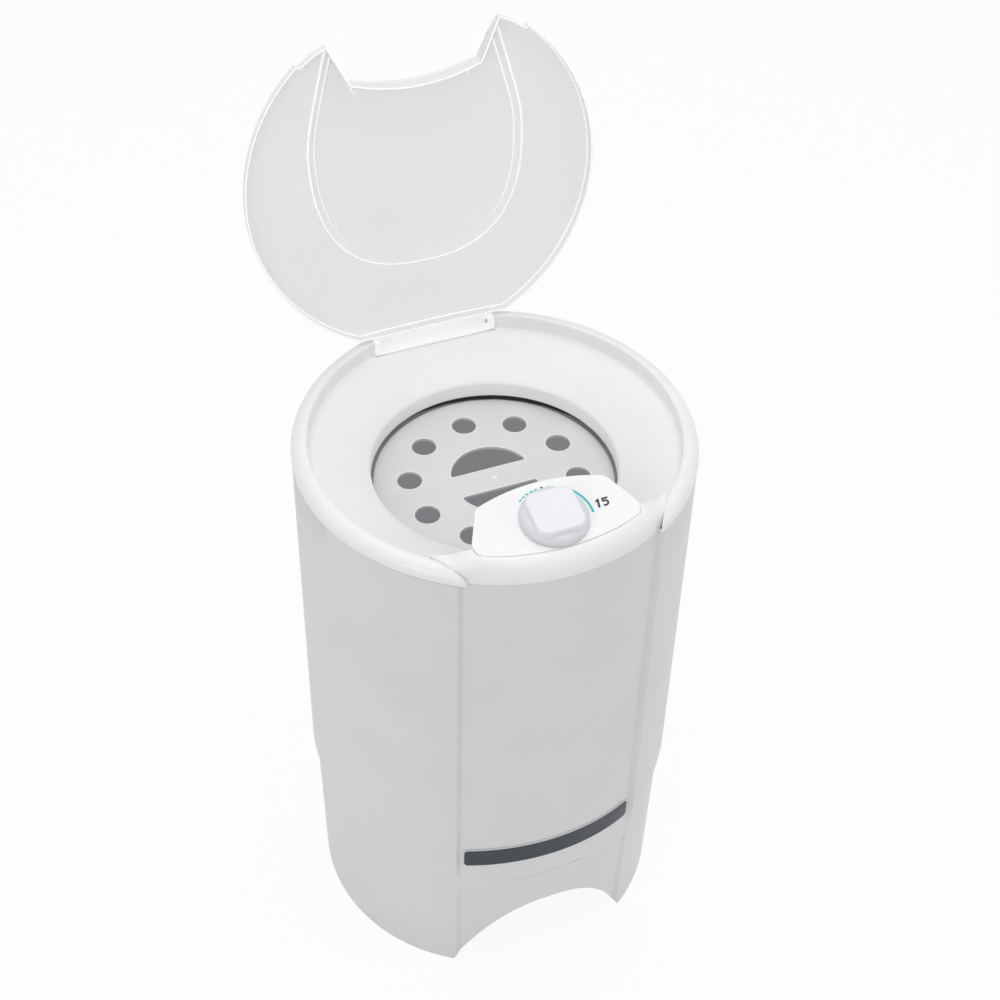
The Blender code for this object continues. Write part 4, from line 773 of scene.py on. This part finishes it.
# Name, count, radius, width, first angle, length and step in degrees
MARKS = (("dash_", 5, 38.4, 1.7, 131.0, 5.4, 8.0), ("tick_", 3, 38.8, 0.9, 80.0, 3.0, 5.0))
ARC_R, ARC_WIDTH, ARC_START, ARC_LENGTH = 40.3, 2.6, 42.0, 48.5
DOT_PITCH, DOT_ANGLE, DOT_R, DOT_TOP = 38.6, 86.5, 1.4, 0.12
ONE_X, FIVE_X, NUMBER_FOOT, NUMBER_SLANT, NUMBER_SIZE = 45.2, 51.8, -1.4, 0.2, 1.38
TILT = radians(10.0)
KNOB_Y, KNOB_Z = -154.0, 694.9
KNOB_R, KNOB_BORE, KNOB_SKIRT_TOP, KNOB_TOP = 35.0, 3.4, 9.8, 15.6
# Half width, corner and height
GRIP_SIDE = ((27.0, 13.6, 6.0), (26.4, 13.2, 10.4))
EDGE_HALF, EDGE_CORNER, TOP_HALF, TOP_CORNER = 25.9, 12.8, 23.5, 11.4
EDGE_RUN, EDGE_RISE, GRIP_DISH = 2.4, 2.2, 0.9


def plate_height(y):
    """Height of the plate's tilted plane."""
    return KNOB_Z + (y - KNOB_Y) * sin(TILT) / cos(TILT)


def console_inner():
    """Inner edge of the console from left to right: x, y and whether the plate reaches it."""
    back = polar(CONSOLE_BACK_R, CONSOLE_BACK_ANGLE)
    half = []
    for k in range(25):
        share = k / 24
        y = NOTCH_MIDDLE + (NOTCH_CORNER[1] - NOTCH_MIDDLE) * share * share
        half.append((NOTCH_CORNER[0] * share, y, True))
    half += [(*mixed(NOTCH_CORNER, NOTCH_TIP, k / 12), True) for k in range(1, 12)]
    half += [(*mixed(NOTCH_TIP, back, k / 12), False) for k in range(13)]
    return [(-x, y, flat) for x, y, flat in reversed(half[1:])] + half


def console_crest(x, y):
    """Top of the console, which falls from the plate to the ring at its ends."""
    plate = plate_height(y)
    return plate + (RING_Z + CREST - plate) * soft_step(abs(x), CREST_FROM, CREST_TO)


def console_rows(inner):
    """Rows of (place, height, inward direction) across the console from its lip to its inner edge."""
    lengths = [0.0]
    for a, b in zip(inner, inner[1:]):
        lengths.append(lengths[-1] + sqrt((b[0] - a[0]) ** 2 + (b[1] - a[1]) ** 2))
    starts = []
    for (x, y, _), length in zip(inner, lengths):
        outer = Vector(polar(CONSOLE_R, CONSOLE_ANGLE * (2.0 * length / lengths[-1] - 1.0)))
        starts.append((outer, Vector((x, y)), (Vector((x, y)) - outer).normalized()))
    rows = [[(outer, LIP_Z, inwards) for outer, _, inwards in starts]]
    for angle in between(0.0, 90.0, NOSE_STEPS):
        turn = radians(angle)
        row = []
        for outer, _, inwards in starts:
            at = outer + inwards * (NOSE * (1.0 - cos(turn)))
            row.append((at, NOSE_FOOT + (console_crest(*at) - NOSE_FOOT) * sin(turn), inwards))
        rows.append(row)
    for share in TOP_SHARES:
        row = []
        for (outer, end, inwards), (_, _, flat) in zip(starts, inner):
            nose_end = outer + inwards * NOSE
            at = nose_end + (end - nose_end) * share
            row.append((at, console_crest(*at) - (PLATE_T if flat else 0.0), inwards))
        rows.append(row)
    return rows


def make_seam_fills(rows):
    """Tongues under the console's skin that close the joints between its ends and the ring."""
    for index, turn, name in ((0, -1.0, "left"), (-1, 1.0, "right")):
        ends = [(row[index][0], row[index][1]) for row in rows]
        way = (ends[-1][0] - ends[0][0]).normalized()
        out = Vector((way.y, -way.x)) * turn
        rings = []
        for grow in (SEAM_IN, SEAM_OUT):
            rings.append([spot(*(at + way * SEAM_DEPTH + out * grow), z - SEAM_DEPTH) for at, z in ends])
        piece("seam_fill_" + name, capped(rings), WHITE, "cabinet", (), 40.0)


def console_underside(rows):
    """Rings of points back under the console's skin, from its inner edge to its lip."""
    last = len(rows) - 1
    rings = []
    for level in range(last, 0, -1):
        ring = []
        for at, z, way in rows[level]:
            inset = CONSOLE_WALL * max(0.0, 1.0 - level / (NOSE_STEPS + 1))
            if level == last:
                inset = -CONSOLE_WALL
            low = z - CONSOLE_WALL * min(2 * level / NOSE_STEPS, 1.0)
            ring.append((at.x + way.x * inset, at.y + way.y * inset, max(low, LIP_Z)))
        rings.append(ring)
    return rings


def make_console():
    """Housing with a rounded front, recessed for the plate."""
    rows = console_rows(console_inner())
    rings = [[(at.x, at.y, z) for at, z, _ in row] for row in rows]
    for back in (0.0, CONSOLE_WALL):
        ring = []
        for at, z, way in rows[-1]:
            ring.append((at.x - way.x * back, at.y - way.y * back, z - CONSOLE_SKIRT))
        rings.append(ring)
    rings += console_underside(rows)
    shape = bmesh.new()
    grid = rows_to_faces(shape, [[spot(*p) for p in ring] for ring in rings], False, True)
    shape.faces.new([ring[0] for ring in grid])
    shape.faces.new([ring[-1] for ring in grid])
    console = piece("console", shape, WHITE, "cabinet", ("control_console",), 32.0)
    soften(console, 0.0006, 2, 50.0)
    make_seam_fills(rows)


def rounded(outline, radius, limit=24.0):
    """Closed outline with its corners rounded by short curves."""
    points = [Vector(p) for p in outline]
    count = len(points)
    lengths = [0.0]
    for i in range(count):
        lengths.append(lengths[-1] + (points[(i + 1) % count] - points[i]).length)
    total = lengths[-1]

    def at(distance):
        distance %= total
        i = max(k for k in range(count) if lengths[k] <= distance + 1e-9)
        run = lengths[i + 1] - lengths[i]
        return points[i].lerp(points[(i + 1) % count], (distance - lengths[i]) / run)

    corners = []
    for i in range(count):
        back, ahead = neighbours(points, i, True)
        if degrees((points[i] - back).angle(ahead - points[i])) > limit:
            corners.append(i)
    made = []
    for i in range(count):
        if i in corners:
            start, end = at(lengths[i] - radius), at(lengths[i] + radius)
            for k in range(9):
                t = k / 8
                made.append(start * (1 - t) ** 2 + points[i] * 2 * t * (1 - t) + end * t * t)
            continue
        apart = min(min(abs(lengths[i] - lengths[c]), total - abs(lengths[i] - lengths[c])) for c in corners)
        if apart > radius:
            made.append(points[i])
    return made


def plate_outline():
    """Plan of the control plate: the recess less a narrow gap."""
    inner = console_inner()
    rows = console_rows(inner)
    flat = [i for i, point in enumerate(inner) if point[2]]
    first = rows[-len(TOP_SHARES)]
    fore = [first[i][0] + first[i][2] * PLATE_GAP for i in flat]
    aft = [rows[-1][i][0] for i in flat]
    return rounded(fore + aft[::-1], PLATE_CORNER)


def plate_solid(name, outline, low, high, skin, replaced=()):
    """Flat piece on the plate's plane, between two heights above its top."""
    rings = [[spot(p.x, p.y, plate_height(p.y) + z) for p in outline] for z in (low, high)]
    return piece(name, capped(rings), skin, "cabinet", replaced, 30.0)


def make_plate():
    """Control plate, which fills the console's recess."""
    low = 0.02 - PLATE_T
    plate = plate_solid("plate", plate_outline(), low, 0.0, PLATE, ("control_plate",))
    soften(plate, 0.0006, 3, 30.0)


def on_plate(radius, angle):
    """Plan of a point on the plate, from the knob's axis; the angle counts from +X towards the back."""
    turn = radians(angle)
    return Vector((radius * cos(turn), KNOB_Y + radius * sin(turn) * cos(TILT)))


def arc_mark(name, radius, width, start, length):
    """Printed arc round the knob, from an angle clockwise."""
    angles = between(start, start - length, max(2, int(length / 3)))
    outline = [on_plate(radius + width / 2, a) for a in angles]
    outline += [on_plate(radius - width / 2, a) for a in reversed(angles)]
    plate_solid(name, outline, PRINT_LOW, PRINT_TOP, TEAL)


def band(points, width):
    """Outline of a line of one width through the points."""
    left, right = [], []
    for i, point in enumerate(points):
        back, ahead = neighbours(points, i)
        along = (ahead - back).normalized()
        side = Vector((-along.y, along.x)) * width / 2
        left.append(point + side)
        right.append(point - side)
    return left + right[::-1]


def figure(name, outline, x):
    """Slanted printed figure from an outline about its foot, at a distance right of the knob."""
    placed = []
    for across, up in outline:
        across = x + NUMBER_SIZE * (across + NUMBER_SLANT * up)
        placed.append(Vector((across, KNOB_Y + (NUMBER_FOOT + NUMBER_SIZE * up) * cos(TILT))))
    plate_solid(name, placed, PRINT_LOW, PRINT_TOP, INK)


def make_number():
    """The longest time in minutes, a plain number right of the dial."""
    one = [(1.3, 0.0), (3.0, 0.0), (3.0, 7.6), (1.8, 7.6), (0.0, 6.2), (0.0, 4.7), (1.3, 5.6)]
    turns = [radians(a) for a in between(125.0, -145.0, 18)]
    bowl = [Vector((2.7 + 2.0 * cos(turn), 2.75 + 2.0 * sin(turn))) for turn in turns]
    five = band([Vector((1.0, 6.8)), Vector((0.9, 5.2))] + bowl, 1.6)
    bar = [(0.2, 6.0), (5.0, 6.0), (5.0, 7.6), (0.2, 7.6)]
    figure("number_one", one, ONE_X)
    figure("number_five", five, FIVE_X)
    figure("number_five_bar", bar, FIVE_X)


def make_marks():
    """Dashes for the short times, three ticks, a dot at the top and a solid arc for the long times."""
    for name, count, radius, width, first, length, step in MARKS:
        for k in range(count):
            arc_mark(name + str(k + 1), radius, width, first - step * k, length)
    arc_mark("long_arc", ARC_R, ARC_WIDTH, ARC_START, ARC_LENGTH)
    dot = [on_plate(DOT_PITCH, DOT_ANGLE) + Vector(point) for point in circle(DOT_R, 16)]
    plate_solid("dot", dot, PRINT_LOW, DOT_TOP, INK)


def knob_point(x, y, z):
    """Point from the knob's axis, with z along it."""
    return spot(x, KNOB_Y + y * cos(TILT) - z * sin(TILT), KNOB_Z + y * sin(TILT) + z * cos(TILT))


def rounded_square(half, corner, z):
    """Ring of 72 points round a square with rounded corners."""
    ring = []
    for quarter in range(4):
        cx = (half - corner) * (1 if quarter in (0, 3) else -1)
        cy = (half - corner) * (1 if quarter in (0, 1) else -1)
        for k in range(18):
            turn = radians(90.0 * quarter + 90.0 * k / 17)
            ring.append(knob_point(cx + corner * cos(turn), cy + corner * sin(turn), z))
    return ring


def make_knob():
    """Round skirt and the rounded square grip on it."""
    skirt = [(KNOB_BORE, 0.6), (KNOB_R - 0.6, 0.6), (KNOB_R, 1.2), (KNOB_R, 3.4), (KNOB_R - 0.3, 4.8),
             (KNOB_R - 1.0, 6.2), (KNOB_R - 2.1, 7.4), (KNOB_R - 3.7, 8.4), (KNOB_R - 5.8, 9.1),
             (KNOB_R - 9.0, 9.6), (KNOB_R - 15.0, KNOB_SKIRT_TOP), (KNOB_BORE, KNOB_SKIRT_TOP)]
    shape = looped([[knob_point(*point, z) for point in circle(r, 72)] for r, z in skirt])
    # The skirt takes the darker copy of the knob's plastic, painted shade.
    piece("knob_skirt", shape, KNOB_SIDE_PAINTED_SHADE, "timer", ("timer_knob",), 40.0)
    rings = [rounded_square(*size) for size in GRIP_SIDE]
    for angle in between(0.0, 90.0, 8):
        turn = radians(angle)
        drawn_in = EDGE_RUN * (1.0 - cos(turn))
        z = KNOB_TOP - EDGE_RISE + EDGE_RISE * sin(turn)
        rings.append(rounded_square(EDGE_HALF - drawn_in, EDGE_CORNER - 0.6 * drawn_in, z))
    for share in (0.92, 0.75, 0.5, 0.25):
        z = KNOB_TOP - GRIP_DISH * (1.0 - share)
        rings.append(rounded_square(TOP_HALF * share, TOP_CORNER * share, z))
    piece("knob_grip", capped(rings), KNOB, "timer", (), 50.0)


# Inner lid and badge

INNER_R, INNER_LOW, INNER_TOP = 128.9, 611.5, 614.6
HOLES, HOLE_PITCH, HOLE_R = 10, 90.0, 13.3
MOON_R, MOON_CENTRE, MOON_EDGE, MOON_CORNER = 44.0, 5.9, 16.3, 4.0
# Distance outside a hole's edge and height over the lid
RIM_PROFILE = ((0.05, -1.0), (1.5, -0.5), (1.3, 0.25), (0.8, 0.45), (0.25, 0.3), (0.0, 0.0))
BADGE_ANGLE, BADGE_TOP, BADGE_HEIGHT, BADGE_SAG, BADGE_BACK_R = 29.4, 241.0, 30.0, 10.0, 206.3
BADGE_HALF, BADGE_EDGE, TAPER_FROM, TAPER = 110.0, 0.5, 0.97, 0.25
# Name, margin, thickness, finish and the solid it stands for
BADGE_LAYERS = (("badge_frame", 0.0, 1.1, FRAME, ("badge_strip",)), ("badge", -1.1, 1.6, SLATE, ()))


def turned_on_axis(profile, x, y, steps=48):
    """Ring about an upright line through (x, y)."""
    return looped([[spot(*point, z) for point in circle(r, steps, x, y)] for r, z in profile])


def moon_outline(side, grow):
    """Half-moon with rounded ends."""
    radius, edge = MOON_R + grow, MOON_EDGE - grow
    reach = sqrt(radius ** 2 - (edge - MOON_CENTRE) ** 2)
    start = degrees(atan2(edge - MOON_CENTRE, reach))
    outline = [(radius * cos(radians(a)), MOON_CENTRE + radius * sin(radians(a)))
               for a in between(start, 180.0 - start, 40)]
    return [(p.x, side * p.y) for p in rounded(outline, MOON_CORNER)]


def through_lid(outline):
    """Solid that cuts an outline out of the inner lid."""
    return prism(outline, INNER_LOW - 5.0, INNER_TOP + 5.0)


def make_lid_hole(number):
    """Rim of one round hole; returns the solid that cuts the hole."""
    x, y = polar(HOLE_PITCH, 360.0 * (number - 1) / HOLES)
    rim = [(HOLE_R + grow, INNER_TOP + rise) for grow, rise in RIM_PROFILE]
    piece("hole_rim_" + str(number), turned_on_axis(rim, x, y), RIM, "safety_lid")
    return through_lid(circle(HOLE_R, 48, x, y))


def make_finger_hole(side, name):
    """Rim of one half-moon; returns the solid that cuts it."""
    rings = []
    for grow, rise in RIM_PROFILE:
        rings.append([spot(x, y, INNER_TOP + rise) for x, y in moon_outline(side, grow)])
    piece("moon_rim_" + name, looped(rings), RIM, "safety_lid")
    return through_lid(moon_outline(side, 0.0))


def make_inner_lid():
    """Lift-out lid with round holes and two finger holes, each with a fine raised rim."""
    edge = [(4.0, INNER_LOW), (INNER_R, INNER_LOW), (INNER_R, INNER_TOP - 1.0),
            (INNER_R - 0.3, INNER_TOP - 0.3), (INNER_R - 1.0, INNER_TOP), (4.0, INNER_TOP)]
    angles = between(0.0, 360.0, 144)[:-1]
    shape = capped([[around(r, a, z) for a in angles] for r, z in edge])
    lid = piece("safety_lid_plate", shape, INNER, "safety_lid", ("inner_lid",), 30.0)
    cuts = [make_lid_hole(k + 1) for k in range(HOLES)]
    cuts += [make_finger_hole(side, name) for side, name in ((-1.0, "front"), (1.0, "back"))]
    cut_with(lid, cuts)
    lid.data.set_sharp_from_angle(angle=radians(30))
    nub = [(0.05, INNER_TOP - 0.5), (4.2, INNER_TOP - 0.5), (3.6, INNER_TOP + 0.6), (2.2, INNER_TOP + 1.3),
           (0.05, INNER_TOP + 1.6)]
    piece("nub", turned_on_axis(nub, 0.0, 0.0, 24), RIM, "safety_lid")


def badge_rings(grow, out):
    """Rings of points along the strip, with a margin and a thickness."""
    rings = []
    for share in between(-1.0, 1.0, 64):
        angle = BADGE_ANGLE * share * (1.0 + grow / BADGE_HALF)
        top = BADGE_TOP - BADGE_SAG * share * share + grow
        half = (BADGE_HEIGHT + 2.0 * grow) / 2
        middle = top - half
        half *= 1.0 - soft_step(abs(share), TAPER_FROM, 1.0) * TAPER
        foot, top, front = middle - half, middle + half, BADGE_BACK_R + out
        rings.append([around(BADGE_BACK_R, angle, foot), around(front, angle, foot + BADGE_EDGE),
                      around(front, angle, top - BADGE_EDGE), around(BADGE_BACK_R, angle, top)])
    return rings


def make_badge():
    """Bare dark strip across the front panel, in a thin pale frame."""
    for name, grow, out, skin, replaced in BADGE_LAYERS:
        made = piece(name, capped(badge_rings(grow, out)), skin, "cabinet", replaced, 30.0)
        soften(made, 0.0003, 2, 30.0)


make_cabinet()
make_deck()
make_ring_ends()
make_lid()
make_lid_lines()
make_flap()
make_console()
make_plate()
make_marks()
make_number()
make_knob()
make_inner_lid()
make_badge()


# Studio

CAMERA_AT = Vector((-0.5407, -1.2941 + AXIS_Y, 1.9197))
CAMERA_TO = Vector((0.0048, -0.0061 + AXIS_Y, 0.5861))
CAMERA_ROLL = radians(1.63)
CAMERA_LENS = 64.8
FLOOR_GLOW, WORLD_LIGHT = 0.93, 0.55
# Name, place, aim, size and power
LAMPS = (
    ("lamp_top", (0.2, 0.3, 3.0), (0.0, 0.0, 0.5), 2.6, 27.0),
    ("lamp_left", (-2.2, -1.6, 1.9), (0.0, 0.0, 0.5), 1.6, 15.0),
    ("lamp_right", (2.4, -1.2, 1.4), (0.0, 0.0, 0.4), 1.4, 9.0),
)


def make_camera():
    """Camera at the photograph's angle."""
    data = bpy.data.cameras.new("camera")
    data.lens = CAMERA_LENS
    data.sensor_width = 36.0
    data.clip_end = 50.0
    camera = in_scene("camera", data)
    ahead = (CAMERA_TO - CAMERA_AT).normalized()
    right = ahead.cross(Vector((0.0, 0.0, 1.0))).normalized()
    up = right.cross(ahead)
    turned_right = right * cos(CAMERA_ROLL) + up * sin(CAMERA_ROLL)
    turned_up = up * cos(CAMERA_ROLL) - right * sin(CAMERA_ROLL)
    axes = (turned_right, turned_up, -ahead, CAMERA_AT)
    camera.matrix_world = Matrix([[axis[i] for axis in axes] for i in range(3)] + [[0.0, 0.0, 0.0, 1.0]])
    bpy.context.scene.camera = camera


def seen_directly(nodes):
    """1 for rays that come from the camera, a mirror or glass."""
    path = nodes.add("ShaderNodeLightPath")
    seen = path.outputs["Is Camera Ray"]
    for kind in ("Is Glossy Ray", "Is Transmission Ray"):
        either = nodes.add("ShaderNodeMath", operation="MAXIMUM")
        nodes.link(seen, either.inputs[0])
        nodes.link(path.outputs[kind], either.inputs[1])
        seen = either.outputs[0]
    return seen


def make_floor():
    """White floor that keeps a soft shadow."""
    shape = bmesh.new()
    corners = [shape.verts.new((x, y, 0.0)) for x, y in ((-9, -9), (9, -9), (9, 9), (-9, 9))]
    shape.faces.new(corners)
    mesh = mesh_of("floor", shape)
    floor = in_scene("floor", mesh)
    nodes = Nodes("floor_white")
    grain = greys(nodes, noise(nodes, coordinates(nodes), 3.0), (0.90, 0.91))
    nodes.drive("Base Color", grain)
    nodes.set(Roughness=1.0, Specular_IOR_Level=0.0)
    glow = nodes.add("ShaderNodeEmission", Strength=1.0)
    share = nodes.add("ShaderNodeMath", operation="MULTIPLY")
    nodes.link(seen_directly(nodes), share.inputs[0])
    share.inputs[1].default_value = FLOOR_GLOW
    mix = nodes.add("ShaderNodeMixShader")
    nodes.link(share.outputs[0], mix.inputs[0])
    nodes.link(nodes.shader.outputs[0], mix.inputs[1])
    nodes.link(glow.outputs[0], mix.inputs[2])
    nodes.link(mix.outputs[0], nodes.tree.nodes["Material Output"].inputs["Surface"])
    mesh.materials.append(nodes.material)


def make_world():
    """Even white surroundings."""
    world = bpy.data.worlds.new("studio")
    world.use_nodes = True
    bpy.context.scene.world = world
    tree = world.node_tree
    background = tree.nodes["Background"]
    background.inputs["Color"].default_value = (1.0, 1.0, 1.0, 1.0)
    path = tree.nodes.new("ShaderNodeLightPath")
    strength = tree.nodes.new("ShaderNodeMapRange")
    strength.inputs["To Min"].default_value = WORLD_LIGHT
    strength.inputs["To Max"].default_value = 1.0
    tree.links.new(path.outputs["Is Camera Ray"], strength.inputs["Value"])
    tree.links.new(strength.outputs["Result"], background.inputs["Strength"])


def make_lamp(name, place, target, size, power):
    """Square soft lamp that faces a point."""
    data = bpy.data.lights.new(name, "AREA")
    data.size = size
    data.energy = power
    lamp = in_scene(name, data)
    lamp.location = place
    lamp.rotation_mode = "QUATERNION"
    lamp.rotation_quaternion = (Vector(target) - Vector(place)).to_track_quat("-Z", "Y")


def make_lights():
    """Wide lamp overhead and two weaker ones from the front left and the front right."""
    for lamp in LAMPS:
        make_lamp(*lamp)


bpy.context.scene.view_settings.view_transform = "Standard"
make_camera()
make_floor()
make_world()
make_lights()
